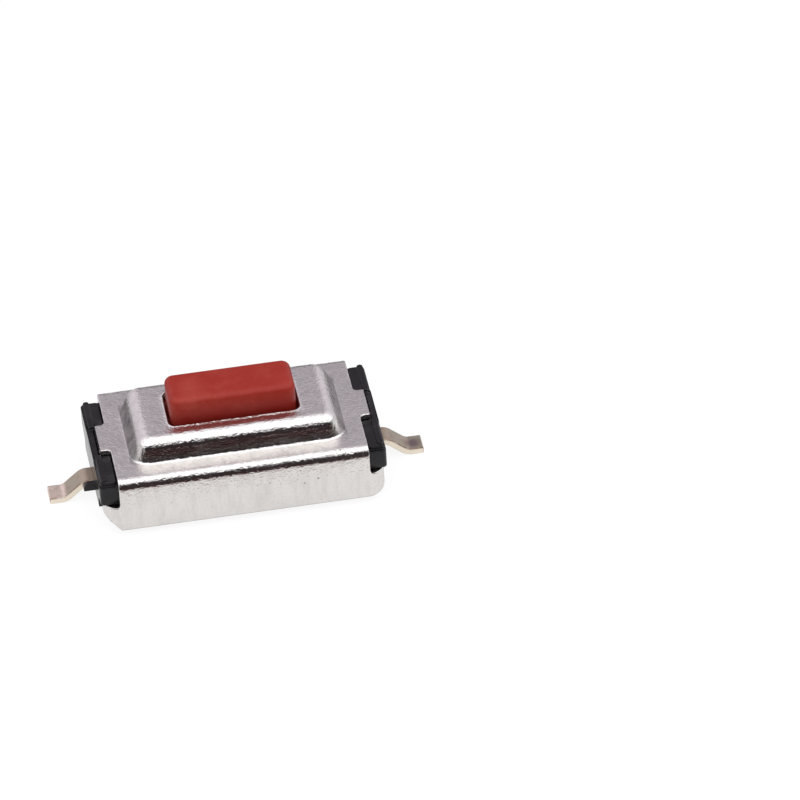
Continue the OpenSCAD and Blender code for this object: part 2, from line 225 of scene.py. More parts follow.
def bent_path(corners: Sequence[Pair], radii: Sequence[float], steps: int) -> tuple[Array, Array]:
    """A path of straight runs with an arc at each inner corner.

    Args:
        corners: The path's corners in the XZ plane.
        radii: Radius of the arc at each inner corner.
        steps: Steps in each arc.

    Returns:
        Places on the path and the unit directions there.
    """
    corner = np.array(corners, float)
    runs = np.diff(corner, axis=0)
    heading = np.degrees(np.arctan2(runs[:, 1], runs[:, 0]))
    places, turned = [corner[:1]], [heading[:1]]
    for i, radius in enumerate(radii, 1):
        turn = (heading[i] - heading[i - 1] + 180) % 360 - 180
        direction = np.radians(heading[i - 1])
        side = math.copysign(1, turn)
        back = radius * math.tan(math.radians(abs(turn) / 2))
        start = corner[i] - back * np.array([math.cos(direction), math.sin(direction)])
        centre = start + side * radius * np.array([-math.sin(direction), math.cos(direction)])
        angles = heading[i - 1] - 90 * side + np.linspace(0, turn, steps + 1)
        places.append(arc(centre, radius, angles[0], angles[-1], steps))
        turned.append(heading[i - 1] + np.linspace(0, turn, steps + 1))
    places.append(corner[-1:])
    turned.append(heading[-1:])
    angle = np.radians(np.concatenate(turned))
    return np.concatenate(places), np.stack([np.cos(angle), np.sin(angle)], axis=-1)


# Meshes


def grid_of(x: Array | float, y: Array | float, z: Array | float) -> Array:
    """A grid of points from coordinates that are spread over each other's rows and columns."""
    return np.stack(np.broadcast_arrays(x, y, z), axis=-1)


def grid_quads(rows: int, columns: int, first: int) -> Array:
    """Four-sided faces between neighbouring points of a grid that is numbered row by row from first."""
    index = np.arange(rows * columns).reshape(rows, columns) + first
    return np.stack([index[:-1, :-1], index[:-1, 1:], index[1:, 1:], index[1:, :-1]], axis=-1).reshape(-1, 4)


def link(name: str, data: bpy.types.ID) -> Thing:
    """An object for the mesh or camera, in the scene.

    Args:
        name: Name of the object.
        data: Its mesh or camera.

    Returns:
        The object.
    """
    thing = bpy.data.objects.new(name, data)
    bpy.context.scene.collection.objects.link(thing)
    return thing


def shell(name: str, points: Array, faces: list[list[int]], close: float = 0, face_up: bool = False) -> Thing:
    """A mesh with its faces turned outwards.

    Args:
        name: Name of the object.
        points: The points in millimetres.
        faces: Numbers of the points of each face.
        close: Distance within which points are merged, or 0 to keep them all.
        face_up: True for an open sheet, whose widest level faces then point up.

    Returns:
        The object, still in millimetres.
    """
    mesh = bpy.data.meshes.new(name)
    mesh.from_pydata(points.tolist(), [], faces)
    build = bmesh.new()
    build.from_mesh(mesh)
    if close:
        bmesh.ops.remove_doubles(build, verts=build.verts, dist=close)
    bmesh.ops.recalc_face_normals(build, faces=build.faces)
    if face_up and max(build.faces, key=lambda f: f.calc_area()).normal.z < 0:
        bmesh.ops.reverse_faces(build, faces=build.faces)
    build.to_mesh(mesh)
    build.free()
    return link(name, mesh)


def joined(name: str, grids: Sequence[Array], face_up: bool = False) -> Thing:
    """Grids of points joined into one mesh, with shared edges merged and its faces turned outwards.

    Args:
        name: Name of the object.
        grids: The grids, in millimetres.
        face_up: True for an open sheet, whose widest level faces then point up.

    Returns:
        The object, still in millimetres.
    """
    first = np.cumsum([0] + [g.shape[0] * g.shape[1] for g in grids])
    quads = np.concatenate([grid_quads(*g.shape[:2], int(n)) for g, n in zip(grids, first)])
    return shell(name, np.concatenate([g.reshape(-1, 3) for g in grids]), quads.tolist(), CLOSE, face_up)


def block(name: str, outline: Array, low: float, high: float, axis: str = "Z") -> Thing:
    """A prism: its outline drawn at both ends, with a side face under each edge.

    Args:
        name: Name of the object.
        outline: Corner points in order, in the plane across the axis. For X they are (Y, Z).
        low: Where the prism starts along its axis.
        high: Where it ends.
        axis: "Z", or "X" or "Y" for a lying prism.

    Returns:
        The object, in millimetres.
    """
    n = len(outline)
    order = {"Z": [0, 1, 2], "X": [2, 0, 1], "Y": [0, 2, 1]}[axis]
    ends = [np.column_stack([outline, np.full(n, v)])[:, order] for v in (low, high)]
    ring = np.arange(n)
    sides = np.stack([ring, np.roll(ring, -1), np.roll(ring, -1) + n, ring + n], axis=-1)
    return shell(name, np.concatenate(ends), [*sides.tolist(), ring[::-1].tolist(), (ring + n).tolist()])


def round_outline(length: float, width: float, corner: float, at: Pair = (0, 0), steps: int = 8) -> Array:
    """Outline of a rounded rectangle about a place, with so many steps round each corner.

    Args:
        length: Its length.
        width: Its width.
        corner: Radius of its corners.
        at: Its middle.
        steps: Steps round each corner.

    Returns:
        The outline's points as rows of X and Y.
    """
    ends = np.array([-1.0, 1.0])
    ring = Lap.around(ends, ends, steps).rings([length / 2], [width / 2], [corner], [0])[0, :-1, :2]
    return ring + np.array(at)


class Cut(Enum):
    """How a second solid changes the first."""

    ADD = "UNION"
    TAKE = "DIFFERENCE"


def changed(thing: Thing, how: Cut, others: Sequence[Thing]) -> Thing:
    """The solid with others added to it or taken from it. The others are used up.

    Args:
        thing: The solid that changes.
        how: Whether the others are added or taken away.
        others: Closed solids in millimetres.

    Returns:
        The same object with its new mesh.
    """
    for other in others:
        step = thing.modifiers.new("solid", "BOOLEAN")
        step.operation = how.value
        step.solver = "EXACT"
        step.object = other
        apply_modifiers(thing)
        old = other.data
        bpy.data.objects.remove(other)
        bpy.data.meshes.remove(old)
    return thing


def apply_modifiers(thing: Thing) -> Thing:
    """Gives the object the mesh that its modifiers make of it.

    Args:
        thing: Object with live modifiers.

    Returns:
        The same object with its new mesh.
    """
    graph = bpy.context.evaluated_depsgraph_get()
    made = bpy.data.meshes.new_from_object(thing.evaluated_get(graph))
    old = thing.data
    thing.modifiers.clear()
    thing.data = made
    made.name = old.name
    bpy.data.meshes.remove(old)
    return thing


def smooth(thing: Thing) -> None:
    """Shades all faces of the object smooth."""
    thing.data.polygons.foreach_set("use_smooth", np.ones(len(thing.data.polygons), bool))


def evened(thing: Thing, keep_sharp: bool = False) -> Thing:
    """Evens the shading towards the large faces, keeps sharp edges where told, and applies all modifiers.

    Args:
        thing: Object in millimetres.
        keep_sharp: True to keep edges that are marked sharp.

    Returns:
        The same object.
    """
    smooth(thing)
    weigh = thing.modifiers.new("shading", "WEIGHTED_NORMAL")
    weigh.weight = FACE_PULL
    weigh.keep_sharp = keep_sharp
    return apply_modifiers(thing)


def soften(thing: Thing, width: float, steps: int = 2, angle: float = 40) -> Thing:
    """Rounds the sharp edges with a narrow bevel and evens the shading.

    Args:
        thing: Object in millimetres.
        width: Width of the rounding.
        steps: Faces across it.
        angle: Smallest angle in degrees that counts as an edge.

    Returns:
        The same object.
    """
    bevel = thing.modifiers.new("edges", "BEVEL")
    bevel.width = width
    bevel.segments = steps
    bevel.limit_method = "ANGLE"
    bevel.angle_limit = math.radians(angle)
    bevel.use_clamp_overlap = False
    return evened(thing, keep_sharp=True)


def thickened(thing: Thing, thick: float, even: bool = False) -> Thing:
    """Gives a sheet its thickness below its face, kept even round its bends where told.

    Args:
        thing: The sheet's upper face, in millimetres.
        thick: Thickness of the sheet.
        even: True to keep it even round bends.

    Returns:
        The same object.
    """
    sheet = thing.modifiers.new("sheet", "SOLIDIFY")
    sheet.thickness = thick
    sheet.offset = -1
    sheet.use_even_offset = sheet.use_quality_normals = even
    return thing


@dataclass(frozen=True)
class Place:
    """Where a finished piece belongs.

    Attributes:
        name: Name of the piece.
        body: Body that it rides on.
        node: Solid that it stands for.
        slot: Material slot of that solid; not used.
    """

    name: str
    body: str
    node: str
    slot: str


def dressed(thing: Thing, name: str, material: Material) -> Thing:
    """Names an object, brings it to metres and gives it its finish.

    Args:
        thing: Object in millimetres.
        name: Its name from now on.
        material: Its finish.

    Returns:
        The same object in metres.
    """
    thing.data.transform(Matrix.Scale(MM, 4))
    smooth(thing)
    thing.data.materials.clear()
    thing.data.materials.append(material)
    thing.name = thing.data.name = name
    return thing


def finished(thing: Thing, place: Place, material: Material) -> Thing:
    """Dresses a piece and hands it to its body.

    Args:
        thing: Object in millimetres.
        place: Where it belongs.
        material: Its finish.

    Returns:
        The finished piece.
    """
    dressed(thing, place.name, material)
    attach(thing, place.body)
    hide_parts(place.node)
    LOG.info("%s: %d faces", place.name, len(thing.data.polygons))
    return thing


# Shading


class Signal:
    """A shader socket that takes part in sums."""

    def __init__(self, shading: "Shading", socket: bpy.types.NodeSocket) -> None:
        """Keeps the socket and the material that it belongs to."""
        self.shading = shading
        self.socket = socket

    def maths(self, operation: str, *values: "Signal | float", flip: bool = False) -> "Signal":
        """The outcome of a Math node on this signal and others.

        Args:
            operation: The node's operation.
            values: The other values.
            flip: True where this signal comes last.

        Returns:
            The node's outcome.
        """
        row = [*values, self] if flip else [self, *values]
        return self.shading.node("ShaderNodeMath", {"operation": operation}, dict(enumerate(row)))

    def __add__(self, other: "Signal | float") -> "Signal":
        """Sum."""
        return self.maths("ADD", other)

    def __sub__(self, other: "Signal | float") -> "Signal":
        """Difference."""
        return self.maths("SUBTRACT", other)

    def __rsub__(self, other: float) -> "Signal":
        """Difference with the signal last."""
        return self.maths("SUBTRACT", other, flip=True)

    def __mul__(self, other: "Signal | float") -> "Signal":
        """Product."""
        return self.maths("MULTIPLY", other)

    def __truediv__(self, other: "Signal | float") -> "Signal":
        """Quotient."""
        return self.maths("DIVIDE", other)

    def __pow__(self, other: "Signal | float") -> "Signal":
        """Power."""
        return self.maths("POWER", other)

    def __abs__(self) -> "Signal":
        """Size without its sign."""
        return self.maths("ABSOLUTE")

    __radd__ = __add__
    __rmul__ = __mul__

    def step(self, low: float, high: float) -> "Signal":
        """Climbs smoothly from 0 to 1 between two values, or falls where low is the larger."""
        settings = {"interpolation_type": "SMOOTHSTEP", "clamp": True}
        return self.shading.node("ShaderNodeMapRange", settings, {0: self, 1: low, 2: high, 3: 0.0, 4: 1.0})


class Shading:
    """Makes the nodes of one material."""

    def __init__(self, name: str) -> None:
        """Starts an empty material.

        Args:
            name: Name of the material.
        """
        self.material = bpy.data.materials.new(name)
        self.material.use_nodes = True
        self.tree = self.material.node_tree
        self.tree.nodes.clear()

    def node(
        self,
        kind: str,
        settings: dict[str, object] | None = None,
        sockets: dict[str | int, object] | None = None,
        out: str | int = 0,
    ) -> Signal:
        """Adds a node: its settings are set first, then its sockets.

        Args:
            kind: The node's type.
            settings: The node's own settings.
            sockets: Values or signals by socket name or number.
            out: Name or number of the outcome to return.

        Returns:
            That outcome.
        """
        made = self.tree.nodes.new(kind)
        for key, value in (settings or {}).items():
            setattr(made, key, value)
        for key, value in (sockets or {}).items():
            if isinstance(value, Signal):
                self.tree.links.new(value.socket, made.inputs[key])
            else:
                made.inputs[key].default_value = value
        return Signal(self, made.outputs[out])

    def place(self, stretch: Triple = (1, 1, 1)) -> Signal:
        """The object's own coordinates in millimetres, times a stretch on each axis.

        Args:
            stretch: Factors on X, Y and Z.

        Returns:
            The coordinates as one signal.
        """
        source = self.node("ShaderNodeTexCoord", out="Object")
        scale = tuple(v / MM for v in stretch)
        return self.node("ShaderNodeMapping", None, {"Vector": source, "Scale": scale})

    def axis(self, letter: str) -> Signal:
        """One of the object's own coordinates in millimetres."""
        return self.node("ShaderNodeSeparateXYZ", None, {0: self.place()}, out=letter)

    def noise(self, scale: float, detail: float, stretch: Triple = (1, 1, 1), rough: float = 0.5) -> Signal:
        """Soft noise between 0 and 1 with so many swells to the millimetre."""
        sockets = {"Vector": self.place(stretch), "Scale": scale, "Detail": detail, "Roughness": rough}
        return self.node("ShaderNodeTexNoise", None, sockets)

    def specks(self, scale: float, low: float, high: float) -> Signal:
        """Small round specks: 1 within low of a scattered point and 0 past high, in cell widths.

        Args:
            scale: Scattered points to the millimetre.
            low: Distance within which a speck is full.
            high: Distance past which nothing is left of it.

        Returns:
            A mask from 0 to 1.
        """
        sockets = {"Vector": self.place(), "Scale": scale}
        spread = self.node("ShaderNodeTexVoronoi", {"feature": "F1"}, sockets, out="Distance")
        return spread.step(high, low)

    def scratches(self, scale: float, stretch: Triple, width: float) -> Signal:
        """Thin curved lines where a stretched noise passes through its middle value."""
        return abs(self.noise(scale, 1, stretch) - 0.5).step(width, 0)

    def painted(self, colour: Triple, *coats: tuple[Signal, Triple]) -> Signal:
        """A colour with others laid over it in turn, each as far as its mask goes from 0 to 1.

        Args:
            colour: The colour below.
            coats: Pairs of a mask and the colour that it lays on.

        Returns:
            The colour as one signal, or as a plain value where there are no coats.
        """
        under = (*colour, 1.0)
        for mask, coat in coats:
            sockets = {0: mask, 6: under, 7: (*coat, 1.0)}
            under = self.node("ShaderNodeMix", {"data_type": "RGBA"}, sockets, out=2)
        return under

    def relief(self, *layers: tuple[Signal, float]) -> Signal:
        """Reliefs laid over each other, each given as a height from 0 to 1 and its depth in millimetres.

        Args:
            layers: Pairs of a height and its depth, the lowest first.

        Returns:
            The normal that the layers give.
        """
        below = {}
        for height, depth in layers:
            sockets = {"Height": height, "Distance": depth * MM, "Strength": 1.0, **below}
            below = {"Normal": self.node("ShaderNodeBump", None, sockets)}
        return below["Normal"]

    def surface(self, **sockets: object) -> Material:
        """Closes the material with the main shader.

        Args:
            sockets: The shader's sockets, with _ for a space.

        Returns:
            The finished material.
        """
        named = {key.replace("_", " "): value for key, value in sockets.items()}
        return self.closed(self.node("ShaderNodeBsdfPrincipled", None, named))

    def glowing(self, colour: Signal | Sequence[float], strength: Signal | float = 1.0) -> Material:
        """Closes the material with plain light of a colour and a strength."""
        return self.closed(self.node("ShaderNodeEmission", None, {"Color": colour, "Strength": strength}))

    def closed(self, shader: Signal) -> Material:
        """Leads a shader to the material's output.

        Args:
            shader: The last shader.

        Returns:
            The finished material.
        """
        made = self.tree.nodes.new("ShaderNodeOutputMaterial")
        self.tree.links.new(shader.socket, made.inputs["Surface"])
        return self.material


@dataclass(frozen=True)
class PlatedSheet:
    """Bright tin-plated sheet: orange peel in two sizes, faint drawing lines, mottling, a few dark pits and
    painted shade.

    Attributes:
        colour: Colour of the plating.
        dull: Colour of its duller blotches.
        stain: Colour of pits and of the sheared lower edge.
        shade: Colour of the painted shade along the feet of the end slopes.
        roughness: Roughness between marks.
        sheared_z: Heights between which the sheared lower edge sets in.
        slope_shade_x: X where the painted shade at the foot of the end slopes begins, is full, ends and is
            gone.
        slope_shade_y: Distances from the middle between which the painted shade fills out.
        slope_shade_z: Heights inside the sheet between which the painted shade starts.
        depths: Depths of the swell, the drawing lines, the peel and the grain.
    """

    colour: Triple = (0.765, 0.735, 0.71)
    dull: Triple = (0.63, 0.60, 0.575)
    stain: Triple = (0.17, 0.12, 0.1)
    shade: Triple = (0.1, 0.09, 0.095)
    roughness: float = 0.1
    sheared_z: Pair = (0.176, 0.164)
    slope_shade_x: Sequence[float] = (2.17, 2.25, 2.36, 2.42)
    slope_shade_y: Pair = (1.15, 0.9)
    slope_shade_z: Pair = (1.38, 1.42)
    depths: Sequence[float] = (0.02, 0.001, 0.01, 0.012)

    def material(self) -> Material:
        """Makes the material.

        Returns:
            The finished material.
        """
        s = Shading("plated_sheet")
        grain = s.noise(20, 2, rough=0.6)
        drawn = s.noise(9, 3, (0.12, 2.2, 1))
        streak = s.noise(5.5, 3, (1.3, 1, 0.3), rough=0.6).step(0.42, 0.68)
        blotch = s.noise(1.5, 4, rough=0.6).step(0.42, 0.72)
        scratch = s.scratches(1.1, (0.5, 1.6, 1.6), 0.006) * s.noise(1.7, 1).step(0.55, 0.68)
        pit = s.specks(2.7, 0.04, 0.085) * s.noise(0.9, 1).step(0.48, 0.56)
        sheared = s.axis("Z").step(*self.sheared_z)
        # Painted shade: a dark line painted into the colour along the feet of the end slopes, which are also
        # a little rougher there.
        start, full, end, gone = self.slope_shade_x
        outward = abs(s.axis("X"))
        slope_shade = outward.step(start, full) * outward.step(gone, end) * s.axis("Z").step(*self.slope_shade_z)
        slope_shade = slope_shade * abs(s.axis("Y")).step(*self.slope_shade_y) * (0.75 + 0.25 * streak)
        colour = s.painted(
            self.colour,
            (blotch * 0.25 + streak * 0.35 + grain.step(0.45, 0.7) * 0.3, self.dull),
            (pit * 0.75, self.stain),
            (sheared * 0.6, self.stain),
            (slope_shade * 0.88, self.shade),
        )
        rough = self.roughness + 0.06 * blotch + 0.08 * grain + 0.1 * scratch
        rough = rough + 0.2 * sheared + 0.15 * slope_shade
        relief = s.relief(*zip((s.noise(1.2, 1), drawn, s.noise(7, 2), grain), self.depths))
        return s.surface(Base_Color=colour, Metallic=1.0, Roughness=rough, Normal=relief)


@dataclass(frozen=True)
class BlackMoulding:
    """Matt black moulded plastic with a fine grain and dusty rubbed spots.

    Attributes:
        colour: Colour of the plastic.
        dust: Colour of what lies on it.
        roughness: Roughness of the clean plastic.
        gloss: Strength of its reflections.
        depths: Depths of the swell and the grain.
    """

    colour: Triple = (0.007, 0.006, 0.0075)
    dust: Triple = (0.06, 0.054, 0.052)
    roughness: float = 0.12
    gloss: float = 0.3
    depths: Pair = (0.006, 0.0012)

    def material(self) -> Material:
        """Makes the material.

        Returns:
            The finished material.
        """
        s = Shading("black_moulding")
        grain = s.noise(26, 3)
        cloud = s.noise(2.2, 4).step(0.45, 0.75)
        dust = s.specks(9, 0.08, 0.16) * s.noise(1.5, 2).step(0.48, 0.62)
        colour = s.painted(self.colour, (cloud * 0.25, self.dust), (dust * 0.5, self.dust))
        rough = self.roughness + 0.12 * cloud + 0.1 * grain
        relief = s.relief(*zip((s.noise(1.4, 2), grain), self.depths))
        return s.surface(Base_Color=colour, Roughness=rough, Specular_IOR_Level=self.gloss, Normal=relief)


@dataclass(frozen=True)
class RedMoulding:
    """Satin red moulded plastic with fine light specks, soft rubbing and painted shade towards the foot of
    its sides.

    Attributes:
        colour: Colour of the plastic.
        pale: Colour of the specks and rubbed spots.
        foot_shade: Colour of the painted shade that darkens the sides towards their foot.
        roughness: Roughness of the clean plastic.
        gloss: Strength of its reflections.
        foot_shade_z: Heights where the painted shade begins and is full, from the top down.
        depths: Depths of the swell and the grain.
    """

    colour: Triple = (0.268, 0.0135, 0.0055)
    pale: Triple = (0.5, 0.12, 0.08)
    foot_shade: Triple = (0.15, 0.008, 0.006)
    roughness: float = 0.38
    gloss: float = 0.28
    foot_shade_z: Pair = (2.42, 1.9)
    depths: Pair = (0.03, 0.003)

    def material(self) -> Material:
        """Makes the material.

        Returns:
            The finished material.
        """
        s = Shading("red_moulding")
        grain = s.noise(22, 3)
        cloud = s.noise(1.6, 4, rough=0.6).step(0.4, 0.75)
        specks = s.specks(12, 0.07, 0.15) * s.noise(3, 2).step(0.45, 0.6)
        # Painted shade: the sides darken towards their foot, shade painted into the colour.
        foot_shade = s.axis("Z").step(*self.foot_shade_z)
        coats = (cloud * 0.18, self.pale), (specks * 0.6, self.pale), (foot_shade * 0.75, self.foot_shade)
        rough = self.roughness + 0.14 * cloud + 0.06 * grain
        relief = s.relief(*zip((s.noise(1.2, 2), grain), self.depths))
        colour = s.painted(self.colour, *coats)
        return s.surface(Base_Color=colour, Roughness=rough, Specular_IOR_Level=self.gloss, Normal=relief)


@dataclass(frozen=True)
class LeadPlating:
    """Satin tin plating on a stamped lead, rubbed through to copper along its edges, with pale cut sides.

    Attributes:
        colour: Colour of the plating.
        dull: Colour of its dark patches.
        copper: Colour of the rubbed edges.
        cream: Colour of the cut sides.
        neck: Colour near the moulding.
        bright: Colour laid over the left foot, which is lighter.
        mauve: Colour of the dark mauve patch on the right foot.
        half_width: Half width of the lead.
        rub: Distances from the lead's side between which the rubbed edge sets in.
        cut: Distances from the lead's side between which the cut side sets in.
        neck_x: Distances from the switch's middle between which the neck's colour sets in.
        bright_x: X between which the bright foot sets in.
        mark: X, Y and radius of that patch, and the share of the radius that is full.
        roughness: Roughness of the smoothest plating.
        depths: Depths of the swell and the grain.
    """

    colour: Triple = (0.465, 0.415, 0.325)
    dull: Triple = (0.34, 0.235, 0.19)
    copper: Triple = (0.22, 0.12, 0.08)
    cream: Triple = (1.0, 0.9, 0.76)
    neck: Triple = (0.45, 0.36, 0.27)
    bright: Triple = (0.86, 0.72, 0.62)
    mauve: Triple = (0.17, 0.105, 0.135)
    half_width: float = 0.25
    rub: Pair = (0.045, 0.02)
    cut: Pair = (0.007, 0.001)
    neck_x: Pair = (3.5, 3.36)
    bright_x: Pair = (-3.72, -3.84)
    mark: Sequence[float] = (3.93, -0.02, 0.24, 0.15)
    roughness: float = 0.28
    depths: Pair = (0.008, 0.004)

    def material(self) -> Material:
        """Makes the material.

        Returns:
            The finished material.
        """
        s = Shading("lead_plating")
        cloud = s.noise(3.5, 4, rough=0.6)
        worn = s.noise(6, 3, rough=0.65).step(0.36, 0.56)
        along, across = s.axis("X"), s.axis("Y")
        inward = self.half_width - abs(across)
        side = inward.step(*self.cut)
        mark_x, mark_y, mark_r, core = self.mark
        away = ((along - mark_x) ** 2 + (across - mark_y) ** 2) ** 0.5 + 0.2 * (cloud - 0.5)
        colour = s.painted(
            self.colour,
            (cloud.step(0.45, 0.72) * 0.7, self.dull),
            (abs(along).step(*self.neck_x) * 0.6, self.neck),
            (along.step(*self.bright_x) * (0.65 + 0.35 * worn), self.bright),
            (away.step(mark_r, core * mark_r) * 0.7, self.mauve),
            (inward.step(*self.rub) * worn * 0.85, self.copper),
            (side * 0.85, self.cream),
        )
        rough = self.roughness + 0.2 * cloud + 0.1 * side
        relief = s.relief(*zip((s.noise(5, 2), s.noise(22, 3)), self.depths))
        return s.surface(Base_Color=colour, Metallic=1.0, Roughness=rough, Normal=relief)


@dataclass(frozen=True)
class SpringSteel:
    """Bright stamped spring steel with rolling lines.

    Attributes:
        colour: Colour of the steel.
        dull: Colour of the rolling lines.
        roughness: Roughness of the smoothest lines.
        depth: Depth of the lines.
    """

    colour: Triple = (0.74, 0.72, 0.67)
    dull: Triple = (0.55, 0.52, 0.47)
    roughness: float = 0.22
    depth: float = 0.0008

    def material(self) -> Material:
        """Makes the material.

        Returns:
            The finished material.
        """
        s = Shading("spring_steel")
        lines = s.noise(8, 3, (0.15, 2.4, 1))
        colour = s.painted(self.colour, (lines.step(0.3, 0.8) * 0.4, self.dull))
        rough, relief = self.roughness + 0.14 * lines, s.relief((lines, self.depth))
        return s.surface(Base_Color=colour, Metallic=1.0, Roughness=rough, Normal=relief)


@dataclass(frozen=True)
class AmberFilm:
    """Clear amber film with a slight haze.

    Attributes:
        colour: Colour of the film.
        pale: Colour of its haze.
        roughness: Roughness of its clearest spots.
        cover: How much its clearest spots hide.
        depth: Depth of its unevenness.
    """

    colour: Triple = (0.72, 0.36, 0.06)
    pale: Triple = (0.82, 0.5, 0.16)
    roughness: float = 0.16
    cover: float = 0.72
    depth: float = 0.002

    def material(self) -> Material:
        """Makes the material.

        Returns:
            The finished material.
        """
        s = Shading("amber_film")
        haze = s.noise(3, 3)
        colour = s.painted(self.colour, (haze * 0.4, self.pale))
        rough, alpha = self.roughness + 0.12 * haze, self.cover + 0.1 * haze
        return s.surface(Base_Color=colour, Roughness=rough, Alpha=alpha, Normal=s.relief((haze, self.depth)))


# The parts


@dataclass
class MetalCover:
    """The cover: one sheet with a drawn plateau, two side walls, two end tabs and four wrapped ears.

    Attributes:
        width: Width over the side walls.
        wall_l: Length of the side walls.
        tab_reach: How far each tab goes past the walls' ends.
        tab_w: Width of each tab.
        tab_tip_r: Radius of the tabs' outer corners.
        sheet_t: Thickness of the sheet.
        rim_z: Height of the rim's top.
        foot_z: Height of the walls' lower edge.
        bend_r: Outer radius of the bend along each side.
        notch_r: Radius of the notches' inner corners.
        raise_l: Length of the plateau at its foot.
        raise_w: Width of the plateau at its foot.
        raise_h: Height of the plateau over the rim.
        flat_corner_r: Radius in the corners of the plateau's flat top.
        raise_angle: Angle of its slopes in degrees.
        raise_top_r: Radius of its upper edge.
        raise_foot_r: Radius of its foot.
        end_angle: Angle of the slopes at the two ends, where the sheet was drawn less sharply.
        end_r: Radii of the upper edge and of the foot there.
        ledge: Flat ledges round the window, at its ends and at its sides.
        window_r: Radius of the window's corners.
        corner_x: Where the wall starts to wrap round the end.
        corner_r: Outer radius of that wrap.
        drawn_y: Distance from the middle past which the top follows the wrap.
        ear_h: Height of each ear.
        ear_reach: How far it goes along the end.
        ear_tip_h: Height of its tip.
        ear_rise: Rise of the tip's lower edge.
        ear_tip_r: Radius of the tip's corners.
        chamfer_rise: Rise of the lower edge of the one chamfered ear, at the front left.
        lip: Height and width of the burr that the punch left round the window.
        edge_r: Radius of the sheet's edges.
    """

    width: float = 3.5
    wall_l: float = 5.52
    tab_reach: float = 0.24
    tab_w: float = 0.94
    tab_tip_r: float = 0.05
    sheet_t: float = 0.15
    rim_z: float = 1.43
    foot_z: float = 0.15
    bend_r: float = 0.22
    notch_r: float = 0.1
    raise_l: float = 4.82
    raise_w: float = 2.52
    raise_h: float = 0.52
    flat_corner_r: float = 0.09
    raise_angle: float = 78
    raise_top_r: float = 0.28
    raise_foot_r: float = 0.09
    end_angle: float = 64
    end_r: Pair = (0.35, 0.04)
    ledge: Pair = (0.55, 0.2)
    window_r: float = 0.16
    corner_x: float = 2.70
    corner_r: float = 0.4
    drawn_y: float = 0.7
    ear_h: float = 0.6
    ear_reach: float = 0.25
    ear_tip_h: float = 0.3
    ear_rise: float = 0.2
    ear_tip_r: float = 0.06
    chamfer_rise: float = 0.32
    lip: Pair = (0.02, 0.055)
    edge_r: float = 0.022
    place: Place = Place("cover_shell", "switch_body", "metal_cover", "cover_metal")

    def slope(self, degrees: float, top_r: float, foot_r: float) -> tuple[Array, float]:
        """A drawn slope: an arc over the upper edge, a straight stretch and an arc at the foot.

        Args:
            degrees: Its angle from level.
            top_r: Radius of the upper arc.
            foot_r: Radius of the lower arc.

        Returns:
            Level distances from the upper arc's start with heights over the rim, and the last distance.
        """
        angle = math.radians(degrees)
        straight = (self.raise_h - (top_r + foot_r) * (1 - math.cos(angle))) / math.sin(angle)
        reach = (top_r + foot_r) * math.sin(angle) + straight * math.cos(angle)
        upper = arc((0, self.raise_h - top_r), top_r, 90, 90 - degrees, 12)
        foot = arc((reach, foot_r), foot_r, 270 - degrees, 270, 8)
        steps = np.array([[0.33], [0.66]])
        return np.concatenate([upper, upper[-1:] + (foot[:1] - upper[-1:]) * steps, foot]), reach

    @property
    def slope_reach(self) -> float:
        """Level distance from the slope's foot to the flat top, to the nearest 0.002 mm."""
        return round(self.slope(self.raise_angle, self.raise_top_r, self.raise_foot_r)[1] / 0.002) * 0.002

    @property
    def corner_centre(self) -> Pair:
        """Centre of the plateau's corner at positive X and Y."""
        inset = self.slope_reach + self.flat_corner_r
        return self.raise_l / 2 - inset, self.raise_w / 2 - inset

    def lap(self) -> Lap:
        """The lap shared by all rings of the top, with points where each notch's corner starts.

        Returns:
            The lap.
        """
        notch = (self.tab_w / 2 + self.notch_r) / self.corner_centre[1]
        short_side = stops((-1, -notch, 4), (-notch, notch, 14), (notch, 1, 4))
        return Lap.around(np.linspace(-1, 1, 41), short_side, 20)

    def slopes(self) -> tuple[Array, Array, Array]:
        """The slope at the sides, with the gentler one of the ends read off at the same heights.

        Returns:
            Distances from the corner's centre along Y and along X, and heights over the rim.
        """
        side, reach = self.slope(self.raise_angle, self.raise_top_r, self.raise_foot_r)
        end, end_reach = self.slope(self.end_angle, *self.end_r)
        foot = self.flat_corner_r + self.slope_reach
        along = np.interp(-side[:, 1], -end[:, 1], end[:, 0]) - end_reach + foot
        return side[:, 0] - reach + foot, along, side[:, 1]

    def top(self) -> Array:
        """Rings from the window's edge over the plateau and down to the edge of the flat rim.

        Returns:
            The grid of points, ring by ring outwards.
        """
        lap, centre = self.lap(), self.corner_centre
        across, along, height = self.slopes()
        slope = lap.rings(centre[0] + along, centre[1] + across, across, self.rim_z + height, along)
        half_l, half_w = (c + self.flat_corner_r - ledge for c, ledge in zip(centre, self.ledge))
        top_z = self.rim_z + self.raise_h
        burr_h, burr_w = self.lip
        window, burr = (
            lap.rings([half_l + out], [half_w + out], [self.window_r + out], [top_z + rise])
            for out, rise in ((0, burr_h), (burr_w, 0))
        )
        flat = blended(burr[0], slope[0], 5)[:-1]
        edge = lap.square_ring(self.wall_l / 2, self.width / 2 - self.bend_r, centre, self.rim_z)
        return np.concatenate([window, burr, flat, slope, blended(slope[-1], edge, 4)])

    def wall(self, edge: Array) -> Array:
        """The front wall with its bend, in line with the points along the rim's edge.

        Args:
            edge: Points along the rim's edge.

        Returns:
            The grid of points, row by row downwards.
        """
        bend = arc((self.width / 2 - self.bend_r, self.rim_z - self.bend_r), self.bend_r, 90, 0, 12)
        root = self.foot_z + self.ear_h + self.notch_r
        straight = stops((bend[-1, 1], root, 4), (root, self.foot_z, 16))[1:]
        y = np.concatenate([bend[:, 0], np.full(straight.size, self.width / 2)])
        z = np.concatenate([bend[:, 1], straight])
        x = np.unique(np.round(edge[np.isclose(edge[:, 1], self.bend_r - self.width / 2), 0], 9))
        return grid_of(x, -y[:, None], z[:, None])

